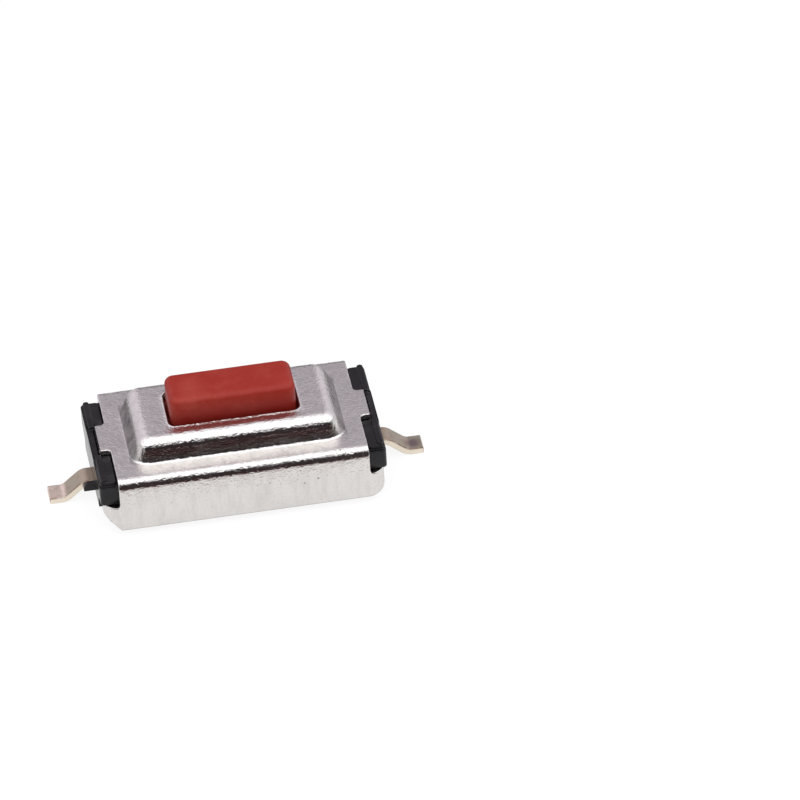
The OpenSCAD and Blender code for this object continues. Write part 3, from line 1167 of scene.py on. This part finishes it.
    def tab(self, edge: Array) -> Array:
        """The right tab, whose half width runs out of each notch's corner and into its own round corner.

        Args:
            edge: Points along the rim's edge.

        Returns:
            The grid of points, row by row outwards.
        """
        half = self.tab_w / 2 + self.notch_r
        on_end = np.isclose(edge[:, 0], self.wall_l / 2) & (np.abs(edge[:, 1]) <= half + CLOSE)
        share = np.unique(np.round(edge[on_end, 1] / half, 9))
        turn = np.radians(np.linspace(0, 90, 9))
        sin, cos, tip = np.sin(turn), np.cos(turn), self.tab_tip_r
        start, end = self.wall_l / 2, self.wall_l / 2 + self.tab_reach
        x = np.concatenate([start + self.notch_r * (1 - cos), end - tip + tip * sin])
        width = np.concatenate([half - self.notch_r * sin, self.tab_w / 2 - tip + tip * cos])
        return grid_of(x[:, None], share * width[:, None], self.rim_z)

    def ear(self, chamfered: bool = False) -> Array:
        """The front right ear: it follows the wrap and then the end, and narrows to a round tip.

        Its lower edge climbs in a straight line from the wall to the tip, as seen from the end. A chamfered
        ear climbs in a straight line as seen from the side.

        Args:
            chamfered: True for the one ear whose lower corner was sheared off more.

        Returns:
            The grid of points, column by column round the corner.
        """
        root_x, centre_y = self.wall_l / 2, self.width / 2 - self.corner_r
        turn = np.arccos(1 - np.linspace(0, 1, 9))
        fillet_x = root_x + self.notch_r * (1 - np.cos(turn))
        wrap = np.arcsin((fillet_x - self.corner_x) / self.corner_r)
        wrap = np.concatenate([wrap, np.linspace(wrap[-1], math.pi / 2, 15)[1:]])
        x = self.corner_x + self.corner_r * np.sin(wrap)
        y = -(centre_y + self.corner_r * np.cos(wrap))
        high_z = self.foot_z + self.ear_h
        fillet_z = high_z + self.notch_r * (1 - np.sin(turn))
        high = np.concatenate([fillet_z, np.full(x.size - fillet_z.size, high_z)])
        tip_start = self.ear_reach - self.ear_tip_r
        along = np.linspace(0, tip_start, 6)[1:]
        rounding = self.ear_tip_r * (1 - np.cos(turn[1:]))
        tip_high = self.foot_z + self.ear_rise + self.ear_tip_h
        round_y = tip_start + self.ear_tip_r * np.sin(turn[1:])
        y = np.concatenate([y, -centre_y + along, -centre_y + round_y])
        high = np.concatenate([high, high_z + (tip_high - high_z) * along / tip_start, tip_high - rounding])
        x = np.concatenate([x, np.full(along.size + rounding.size, self.corner_x + self.corner_r)])
        if chamfered:
            rise = self.chamfer_rise * (x - x[0]) / (x[-1] - x[0])
        else:
            rise = self.ear_rise * np.minimum((y - y[0]) / (tip_start - centre_y - y[0]), 1)
        low = self.foot_z + rise + np.concatenate([np.zeros(y.size - rounding.size), rounding])
        share = np.linspace(1, 0, 17)[:, None]
        return grid_of(x, y, low + (high - low) * share)

    def drawn_in(self, grid: Array) -> Array:
        """Starts the wrap before each wall's end: past corner_x the side moves in along the wrap's arc.

        Args:
            grid: Points of the top or of a wall.

        Returns:
            The points, moved in along Y.
        """
        past = np.maximum(np.abs(grid[..., 0]) - self.corner_x, 0)
        inward = self.corner_r - np.sqrt(np.maximum(self.corner_r**2 - past**2, 0))
        far = self.width / 2 - self.bend_r
        share = np.clip((np.abs(grid[..., 1]) - self.drawn_y) / (far - self.drawn_y), 0, 1)
        return grid - grid_of(0.0, np.sign(grid[..., 1]) * inward * share, 0.0)

    def build(self) -> Thing:
        """Builds the cover and gives the sheet its thickness.

        Returns:
            The finished cover.
        """
        top = self.top()
        wall = self.drawn_in(self.wall(top[-1]))
        tab = self.tab(top[-1])
        grids = [self.drawn_in(top), wall, mirrored(wall, y=-1), tab, mirrored(tab, x=-1)]
        grids += [mirrored(self.ear(chamfered=(x, y) == (-1, 1)), x, y) for x in (1, -1) for y in (1, -1)]
        sheet = thickened(joined("cover", grids, face_up=True), self.sheet_t, even=True)
        return finished(soften(sheet, self.edge_r, 3), self.place, PlatedSheet().material())


@dataclass
class BaseHousing:
    """The moulded base with its corner posts, end walls, pocket, stepped underside, slots and bare frames.

    Attributes:
        length: Length of the base.
        width: Width of the base.
        corner_r: Radius of its corners.
        end_low_z: Height of the blocks' underside at the ends.
        top_z: Height of the base's top.
        panel: Length, width and corner radius of the underside's panel.
        panel_z: Height of the panel's face.
        sunk: How far a block or a cutter ends inside or past another where nothing shows.
        pocket: Length, width and corner radius of the dome's pocket.
        floor_z: Height of the pocket's floor.
        post_x: Where each post starts, and where its higher half starts.
        post_y: Near and far side of each post.
        post_z: Heights of the two halves.
        post_low_z: Height inside the base where they begin.
        setback: Distance of each half of a post behind what is below it.
        end_wall_z: Height of the walls past the tabs.
        post_r: Radius of the posts' corners.
        wall_x: Where the end wall starts.
        wall_past: How far it goes past the straight part of the posts' near sides.
        slot: Length, width and corner radius of each slot.
        slot_pitch: Distance between slots.
        slot_depth: Depth of the slots.
        frame: Length, width and line width of each engraved frame.
        frame_x: Distance of each frame from the middle.
        frame_depth: Depth of the frames' lines.
        ear_corner: Centre of the ears' wrap.
        ear_room: Inner radius of the ears' room, its height, and the far side of the tip's room.
        tip_room: Height of the tip's room at its far side, and the size of the cut in its corner.
        stub_x: Start, shoulder and end of the stub beside the left lead, as distances from the middle.
        stub_y: Its two sides.
        stub_z: Heights of its underside, its shoulder and its top.
        edge_r: Radius of the moulding's edges.
    """

    length: float = 6.32
    width: float = 3.16
    corner_r: float = 0.09
    end_low_z: float = 0.38
    top_z: float = 1.22
    panel: Triple = (5.5, 3.0, 0.4)
    panel_z: float = 0.05
    sunk: float = 0.1
    pocket: Triple = (3.36, 2.16, 0.16)
    floor_z: float = 0.87
    post_x: Pair = (2.78, 2.98)
    post_y: Pair = (0.49, 1.49)
    post_z: Pair = (1.30, 1.37)
    post_low_z: float = 0.57
    setback: float = 0.022
    end_wall_z: float = 1.29
    post_r: float = 0.065
    wall_x: float = 3.02
    wall_past: float = 0.02
    slot: Triple = (1.55, 0.52, 0.06)
    slot_pitch: float = 1.0
    slot_depth: float = 0.24
    frame: Triple = (1.46, 2.3, 0.07)
    frame_x: float = 1.76
    frame_depth: float = 0.05
    ear_corner: Pair = (2.70, 1.35)
    ear_room: Triple = (0.23, 0.77, 1.08)
    tip_room: Pair = (0.61, 0.06)
    stub_x: Triple = (3.1, 3.33, 3.4)
    stub_y: Pair = (-0.4, -0.27)
    stub_z: Triple = (0.33, 0.425, 0.52)
    edge_r: float = 0.018
    place: Place = Place("base_moulding", "switch_body", "base_housing", "base_plastic")

    def posts(self) -> list[Thing]:
        """The corner posts, each of a lower inner half and a higher outer half that stands back a little.

        Returns:
            Two blocks to a post.
        """
        made = []
        for x, y in product(SIDES, SIDES):
            for back, start, high in zip((self.setback, 2 * self.setback), self.post_x, self.post_z):
                end = self.length / 2 - back
                near, far = self.post_y[0] + back - self.setback, self.post_y[1] - back + self.setback
                at = (x * (start + end) / 2, y * (near + far) / 2)
                outline = round_outline(end - start, far - near, self.post_r, at)
                made.append(block("post", outline, self.post_low_z, high))
        return made

    def end_walls(self) -> list[Thing]:
        """The wall past each tab.

        Returns:
            One block to an end.
        """
        half_w = self.post_y[0] + self.post_r + self.wall_past
        outline = np.array([[0, -1], [1, -1], [1, 1], [0, 1]]) * (self.length / 2 - self.wall_x, half_w)
        outline = outline + (self.wall_x, 0)
        return [block("end_wall", outline * (x, 1), self.post_low_z, self.end_wall_z) for x in SIDES]

    def ear_rooms(self) -> list[Thing]:
        """What is taken away for the cover's ears: round each corner, and along the end to the ear's tip.

        Returns:
            Two cutters to a corner.
        """
        (cx, cy), (room_r, high, tip), (tip_z, cut) = self.ear_corner, self.ear_room, self.tip_room
        wrap = arc((cx, -cy), room_r, -90, 0, 8)
        corner = np.concatenate([wrap, [[cx + PAST, -cy], [cx + PAST, -cy - PAST], [cx, -cy - PAST]]])
        out = -cy - 3 * self.sunk
        tip_end = [[-tip, -PAST], [-tip, tip_z], [-tip - cut, tip_z + cut]]
        end = np.array([[out, -PAST], *tip_end, [-cy, high], [out, high]])
        made = []
        for x, y in product(SIDES, SIDES):
            made.append(block("corner_room", corner * (x, y), -PAST, high))
            near, far = sorted([x * (cx + room_r), x * (cx + PAST)])
            made.append(block("end_room", end * (y, 1), near, far, "X"))
        return made

    def underside_cuts(self) -> list[Thing]:
        """The three slots and the lines of the two bare frames.

        Returns:
            The cutters.
        """
        low, slot_z = self.panel_z - PAST, self.panel_z + self.slot_depth
        places = [(0, row * self.slot_pitch) for row in (-1, 0, 1)]
        made = [block("slot", round_outline(*self.slot, at), low, slot_z) for at in places]
        length, width, line = self.frame
        frame_z = self.panel_z + self.frame_depth
        for x in (-self.frame_x, self.frame_x):
            outline = round_outline(length, width, line, (x, 0))
            inside = round_outline(length - 2 * line, width - 2 * line, line, (x, 0))
            outer = block("frame_line", outline, low, frame_z)
            made.append(changed(outer, Cut.TAKE, [block("inside", inside, low, frame_z + self.sunk)]))
        return made

    def stub(self) -> Thing:
        """The small moulding stub beside the left lead.

        Returns:
            The stub as a block.
        """
        start, shoulder, end = self.stub_x
        low, bend, high = self.stub_z
        outline = np.array([[-start, low], [-end, low], [-end, bend], [-shoulder, high], [-start, high]])
        return block("stub", outline, *self.stub_y, "Y")

    def build(self) -> Thing:
        """Builds the base from its blocks and cuts.

        Returns:
            The finished base.
        """
        outline = round_outline(self.length, self.width, self.corner_r)
        base = block("base", outline, self.end_low_z, self.top_z)
        panel = block("panel", round_outline(*self.panel), self.panel_z, self.top_z - self.sunk)
        changed(base, Cut.ADD, [panel, *self.posts(), *self.end_walls(), self.stub()])
        pocket = block("pocket", round_outline(*self.pocket), self.floor_z, self.top_z + PAST)
        changed(base, Cut.TAKE, [pocket, *self.ear_rooms(), *self.underside_cuts()])
        return finished(soften(base, self.edge_r), self.place, BlackMoulding().material())


@dataclass
class Button:
    """The red button with its flange under the cover and the round stub that presses on the dome.

    Attributes:
        half: Half length and half width of the part that stands out.
        corner_r: Radius of its upright corners.
        edge_r: Radius of its top edge.
        top_z: Height of its top.
        flange_half: Half length and half width of the flange.
        flange_z: Heights of the flange's underside and top.
        flange_r: Radius of the flange's upper edge.
        flange_cut: Width and height of the cut along its lower edge.
        side_z: Heights of the rings on the sides.
        stub_r: Radius of the stub.
        stub_z: Height of the stub's end.
        stub_cut: Width and height of the cut round the stub's end.
    """

    half: Pair = (1.39, 0.53)
    corner_r: float = 0.2
    edge_r: float = 0.14
    top_z: float = 2.53
    flange_half: Pair = (1.78, 0.78)
    flange_z: Pair = (1.55, 1.78)
    flange_r: float = 0.03
    flange_cut: Pair = (0.06, 0.02)
    side_z: Sequence[float] = (1.8, 2.0, 2.2)
    stub_r: float = 0.4
    stub_z: float = 1.28
    stub_cut: float = 0.024
    place: Place = Place("red_button", "button", "button", "button_plastic")

    def ring(self, half: Pair, z: float, grow: float = 0, corner: float = 0) -> tuple[float, ...]:
        """A ring's half length, half width, corner radius and height, with the sizes and the corner grown."""
        return half[0] + grow, half[1] + grow, self.corner_r + corner, z

    def build(self) -> Thing:
        """Builds the button as rings from the stub's end out to the flange and up to the closed top.

        Returns:
            The finished button.
        """
        low, high = self.flange_z
        cut_w, cut_h = self.flange_cut
        edge_z = self.top_z - self.edge_r
        rows = [(r, r, r, self.stub_z) for r in (TINY, 0.45 * self.stub_r, self.stub_r - self.stub_cut)]
        rows += [(self.stub_r, self.stub_r, self.stub_r, z) for z in (self.stub_z + self.stub_cut, low)]
        rows += [self.ring(self.flange_half, low, -cut_w), self.ring(self.flange_half, low + cut_h)]
        for out, rise in arc((-self.flange_r, high - self.flange_r), self.flange_r, 0, 90, 3):
            rows.append(self.ring(self.flange_half, rise, out))
        rows += [self.ring(self.half, z) for z in (high, *self.side_z, edge_z)]
        for out, rise in arc((-self.edge_r, edge_z), self.edge_r, 0, 90, 10)[1:]:
            rows.append(self.ring(self.half, rise, out, out))
        half_l, half_w, corner = (v - self.edge_r for v in (*self.half, self.corner_r))
        for share in (0.25, 0.5, 0.75, 1):
            left = 1 - share
            rows.append((half_l - half_w * share, half_w * left, corner * left, self.top_z))
        lap = Lap.around(np.linspace(-1, 1, 31), np.linspace(-1, 1, 13), 16)
        button = evened(joined("button", [lap.rings(*np.array(rows).T)]))
        return finished(button, self.place, RedMoulding().material())


class Contact(Enum):
    """The two stamped terminals."""

    CENTRE = "centre_terminal"
    OUTER = "outer_terminal"


@dataclass
class Terminal:
    """One stamped terminal: a gull-wing lead that runs into the base and ends as a contact under the dome.

    Attributes:
        contact: Which of the two it is.
        span: Length over the tips of both leads.
        width: Width of the lead.
        thick: Thickness of the strip.
        foot_l: Length of the foot.
        exit_x: Where the lead leaves the base.
        neck: Level stretch before the lead bends down.
        exit_z: Height of the lead's underside where it leaves the base.
        bend_r: Inner radius of the two bends outside the base.
        step_r: Inner radius of the two bends inside it.
        edge_r: Radius of the strip's edges.
        contact_z: Height of the contact's top.
        contact_r: Radius in the corners of the pad and of the ring's window.
        pad: Size of the centre contact.
        ring: Length, width and corner radius of the outer contact.
        ring_window: Length and width of its window.
        end_gap: How far the strip ends short of the ring's window.
    """

    contact: Contact
    span: float = 8.3
    width: float = 0.5
    thick: float = 0.14
    foot_l: float = 0.36
    exit_x: float = 3.16
    neck: float = 0.2
    exit_z: float = 0.36
    bend_r: float = 0.2
    step_r: float = 0.1
    edge_r: float = 0.022
    contact_z: float = 0.93
    contact_r: float = 0.04
    pad: float = 0.8
    ring: Triple = (3.6, 2.4, 0.2)
    ring_window: Pair = (2.4, 1.5)
    end_gap: float = 0.02

    def path(self) -> list[Pair]:
        """Corners of the strip's middle line, from the tip of its foot to under the dome.

        Returns:
            The corners as pairs of X and Z.
        """
        middle, rise = self.exit_z + self.thick / 2, self.contact_z - self.thick / 2
        centre = self.contact is Contact.CENTRE
        step_x = self.pad if centre else self.ring[0] / 2 + self.step_r + self.thick
        end_x = 0.0 if centre else self.ring_window[0] / 2 + self.end_gap
        return [
            (self.span / 2, self.thick / 2),
            (self.span / 2 - self.foot_l, self.thick / 2),
            (self.exit_x + self.neck, middle),
            (step_x, middle),
            (step_x, rise),
            (end_x, rise),
        ]

    def strip(self) -> Array:
        """The strip as a rounded section carried along its path, closed at both ends by shrinking rings.

        Returns:
            The grid of points, ring by ring along the strip.
        """
        radii = np.array([self.bend_r, self.bend_r, self.step_r, self.step_r]) + self.thick / 2
        place, tangent = bent_path(self.path(), radii, 10)
        turn = np.radians(np.linspace(0, 90, 4))
        ahead = np.concatenate([[0, 0], self.edge_r * (1 - np.cos(turn))])
        start, end = place[0] + tangent[0] * ahead[:, None], place[-1] - tangent[-1] * ahead[::-1, None]
        places = np.concatenate([start, place[1:-1], end])
        n = ahead.size
        tangents = np.repeat(tangent, [n, *[1] * (len(tangent) - 2), n], axis=0)

        def closing(half: float) -> Array:
            """Half widths or thicknesses along the strip, which shrink to nothing at both ends."""
            close = np.concatenate([[0, half / 2], half - self.edge_r * (1 - np.sin(turn))])
            return np.concatenate([close, np.full(len(place) - 2, half), close[::-1]])

        wide, tall = closing(self.width / 2), closing(self.thick / 2)
        lap = Lap.around(np.linspace(-1, 1, 9), np.linspace(-1, 1, 5), 6)
        section = lap.rings(wide, tall, np.minimum(self.edge_r, tall * 0.999), 0)[..., :2]
        return swept(places, tangents, section)

    def contact_plate(self) -> Thing:
        """The contact itself: a square pad, or a ring round the pocket's floor.

        Returns:
            The contact as a block.
        """
        low = self.contact_z - self.thick
        if self.contact is Contact.CENTRE:
            return block("pad", round_outline(self.pad, self.pad, self.contact_r), low, self.contact_z)
        plate = block("ring", round_outline(*self.ring), low, self.contact_z)
        outline = round_outline(*self.ring_window, self.contact_r)
        return changed(plate, Cut.TAKE, [block("window", outline, low - PAST, self.contact_z + PAST)])

    def build(self) -> Thing:
        """Builds the strip and its contact as one solid. The centre one is turned over to the left.

        Returns:
            The finished terminal.
        """
        strip = joined("strip", [self.strip()])
        changed(strip, Cut.ADD, [self.contact_plate()])
        name = "right_lead"
        if self.contact is Contact.CENTRE:
            strip.data.transform(Matrix.Scale(-1, 4, (1, 0, 0)))
            strip.data.flip_normals()
            name = "left_lead"
        place = Place(name, "switch_body", self.contact.value, "lead_plating")
        return finished(evened(strip), place, LeadPlating().material())


@dataclass
class SnapDome:
    """The snap dome: a cap of a ball with its sides cut straight.

    Attributes:
        length: Length of the dome.
        width: Width between its straight sides.
        thick: Thickness of the sheet.
        low_z: Height of its feet.
        high_z: Height of its top.
        edge_r: Radius of its edges.
    """

    length: float = 3.2
    width: float = 2.0
    thick: float = 0.06
    low_z: float = 0.93
    high_z: float = 1.18
    edge_r: float = 0.01
    place: Place = Place("dome_sheet", "switch_body", "snap_dome", "dome_steel")

    def build(self) -> Thing:
        """Builds the cap: each row runs between the ends of its chord, and the height is that of the ball.

        Returns:
            The finished dome.
        """
        rise = self.high_z - self.low_z
        radius = ((self.length / 2) ** 2 + rise**2) / (2 * rise)
        y = np.linspace(-1, 1, 31)[:, None] * self.width / 2
        x = np.linspace(-1, 1, 49) * np.sqrt((self.length / 2) ** 2 - y**2)
        z = self.high_z - radius + np.sqrt(radius**2 - x**2 - y**2)
        made = thickened(joined("dome", [grid_of(x, y, z)], face_up=True), self.thick)
        made = finished(soften(made, self.edge_r), self.place, SpringSteel().material())
        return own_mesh(made)


@dataclass
class InsulatingFilm:
    """The film that lies over the dome's pocket.

    Attributes:
        length: Length of the film.
        width: Width of the film.
        corner_r: Radius of its corners.
        low_z: Height of its underside.
        thick: Its thickness.
        edge: Height of the cut along its edges.
        anchor_z: Height towards which it would be pressed; not used.
    """

    length: float = 4.5
    width: float = 2.8
    corner_r: float = 0.2
    low_z: float = 1.22
    thick: float = 0.04
    edge: float = 0.008
    anchor_z: float = 0.93
    place: Place = Place("film_sheet", "switch_body", "insulating_film", "film")

    def build(self) -> Thing:
        """Builds the film as rings out over its underside and back over its top.

        Returns:
            The finished film.
        """
        lap = Lap.around(np.linspace(-1, 1, 21), np.linspace(-1, 1, 13), 10)
        half_l, half_w = self.length / 2, self.width / 2
        inward = np.array([1, 0.6, 0.3, 0.004, 0])
        rise = np.array([0, 0, 0, 0, self.edge])
        s = np.concatenate([inward, inward[::-1]])
        z = self.low_z + np.concatenate([rise, self.thick - rise[::-1]])
        made = joined("film", [lap.rings(half_l - half_w * s, half_w * (1 - s), self.corner_r * (1 - s), z)])
        made = finished(made, self.place, AmberFilm().material())
        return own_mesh(made)


# The studio


@dataclass
class Studio:
    """A light tent over a white floor, a dark card low in front, and the camera.

    Attributes:
        floor_reach: Half width of the floor.
        floor_grey: Colour of the floor's dull share.
        floor_glow: Strength of its glowing share.
        floor_gloss: How much of the glow a glossy reflection sees.
        floor_share: Share of the glow in what the camera sees.
        tent_r: Radius of the tent.
        tent_front: Strength of the tent's top in front.
        tent_back: Strength of the tent's foot at the back.
        front_colour: Colour of its light in front.
        back_colour: Colour of its light at the back.
        card_y: Distance of the dark card in front of the switch.
        card_half: Half length of the card.
        card_z: Heights of the card's lower and upper edge.
        card_turn: Heights between which the card turns from its lower to its upper colour.
        card_low: Colour of the card's lower stretch.
        card_high: Colour of its upper stretch.
        flag: X and Y of the near and the far corner of the right card that lies behind.
        flag_z: Height of the two cards that lie behind.
        flag_colour: Colour of them.
        camera_at: Place of the camera.
        camera_axes: The camera's right, up and back directions, as rows.
        lens: Focal length in millimetres.
        sensor: Width of the camera's sensor.
        clip: Nearest and farthest distance that the camera sees, in metres.
        things: What stands on the stage.
    """

    floor_reach: float = 1500
    floor_grey: float = 0.6
    floor_glow: float = 1.12
    floor_gloss: float = 0.74
    floor_share: float = 0.8
    tent_r: float = 70
    tent_front: float = 1.68
    tent_back: float = 0.26
    front_colour: Triple = (0.985, 1.0, 1.025)
    back_colour: Triple = (0.99, 0.93, 1.03)
    card_y: float = -3.4
    card_half: float = 8
    card_z: Pair = (0.42, 3.6)
    card_turn: Pair = (0.78, 0.93)
    card_low: Triple = (0.1, 0.024, 0.03)
    card_high: Triple = (0.028, 0.019, 0.02)
    flag: Sequence[Pair] = ((3.5, 2.2), (14.0, 16.0))
    flag_z: float = 0.02
    flag_colour: Triple = (0.2, 0.19, 0.2)
    camera_at: Triple = (-17.677277, -167.637772, 127.304965)
    camera_axes: Sequence[Triple] = (
        (0.98554281, -0.16231035, -0.04858725),
        (0.13564150, 0.58403867, 0.80031257),
        (-0.10152218, -0.79533275, 0.59761114),
    )
    lens: float = 432.918682
    sensor: float = 36
    clip: Pair = (0.001, 20)
    things: list[Thing] = field(default_factory=list)

    def staged(self, name: str, grid: Array, material: Material) -> Thing:
        """A stage object from one grid in millimetres.

        Args:
            name: Name of the object.
            grid: Its points.
            material: Its finish.

        Returns:
            The object.
        """
        thing = dressed(joined(name, [grid]), name, material)
        self.things.append(thing)
        return thing

    def floor(self) -> None:
        """A white floor that glows a little for the camera and in reflections, and keeps the shadow."""
        s = Shading("white_floor")
        camera, glossy, through = (
            s.node("ShaderNodeLightPath", out=f"Is {ray} Ray") for ray in ("Camera", "Glossy", "Transmission")
        )
        seen = (camera + glossy * self.floor_gloss + through).maths("MINIMUM", 1.0)
        lit = s.node("ShaderNodeBsdfDiffuse", None, {"Color": (*[self.floor_grey] * 3, 1)})
        glow = s.node("ShaderNodeEmission", None, {"Color": (1, 1, 1, 1), "Strength": self.floor_glow})
        mixed = s.node("ShaderNodeMixShader", None, {0: seen * self.floor_share, 1: lit, 2: glow})
        edge = np.array([-self.floor_reach, self.floor_reach])
        self.staged("floor", grid_of(edge, edge[:, None], 0.0), s.closed(mixed))

    def tent(self) -> None:
        """Half a ball of soft light.

        It is bright over the front and top, and mauve grey at the back, which is lighter to both sides and
        dark near the floor between them.
        """
        s = Shading("tent_light")
        x, y, z = (s.axis(letter) / self.tent_r for letter in "XYZ")
        behind = y.step(0.05, 0.6)
        aside = abs(x - 0.1).step(0.12, 0.36)
        front = self.tent_front * (1 - 0.66 * z.step(0.7, 0.05))
        back = self.tent_back + 0.38 * z + 0.42 * aside
        back = back * (1 - 0.78 * (z.step(0.3, 0.14) * (1 - aside)))
        level = front * (1 - behind) + back * behind
        material = s.glowing(s.painted(self.front_colour, (behind, self.back_colour)), level)
        rise = np.radians(np.linspace(0, 90, 25))[:, None]
        round_ = np.radians(np.linspace(0, 360, 65))
        ball = grid_of(np.cos(rise) * np.cos(round_), np.cos(rise) * np.sin(round_), np.sin(rise))
        self.staged("tent", self.tent_r * ball, material).visible_camera = False

    def cards(self) -> None:
        """The dark cards that only reflections see: one standing in front, two lying behind at the sides."""
        s = Shading("dark_card")
        turned = s.axis("Z").step(*self.card_turn)
        material = s.glowing(s.painted(self.card_low, (turned, self.card_high)))
        x = np.array([-self.card_half, self.card_half])
        cards = [self.staged("card", grid_of(x, self.card_y, np.array(self.card_z)[:, None]), material)]
        material = Shading("grey_flag").glowing((*self.flag_colour, 1))
        x, y = np.array(self.flag).T
        cards += [self.staged("flag", grid_of(side * x, y[:, None], self.flag_z), material) for side in SIDES]
        for card in cards:
            card.visible_camera = card.visible_diffuse = False
            card.visible_shadow = card.visible_transmission = False

    def camera(self) -> None:
        """The camera at the photograph's angle."""
        data = bpy.data.cameras.new("camera")
        data.sensor_width, data.lens = self.sensor, self.lens
        data.clip_start, data.clip_end = self.clip
        axes = np.eye(4)
        axes[:3, :3] = np.array(self.camera_axes).T
        axes[:3, 3] = np.array(self.camera_at) * MM
        camera = link("camera", data)
        camera.matrix_world = Matrix(axes.tolist())
        bpy.context.scene.camera = camera

    def build(self) -> None:
        """Builds the stage, the world and the camera."""
        self.floor()
        self.tent()
        self.cards()
        world = bpy.data.worlds.new("white_room")
        world.use_nodes = True
        world.node_tree.nodes["Background"].inputs["Color"].default_value = (1, 1, 1, 1)
        bpy.context.scene.world = world
        self.camera()
        bpy.context.scene.view_settings.view_transform = "Standard"


def main() -> None:
    """Builds every piece of the switch and the studio round it."""
    logging.basicConfig(level=logging.INFO, format="%(name)s %(message)s")
    terminals = [Terminal(contact) for contact in Contact]
    for part in (MetalCover(), BaseHousing(), Button(), *terminals, SnapDome(), InsulatingFilm(), Studio()):
        part.build()


if __name__ == "__main__":
    main()
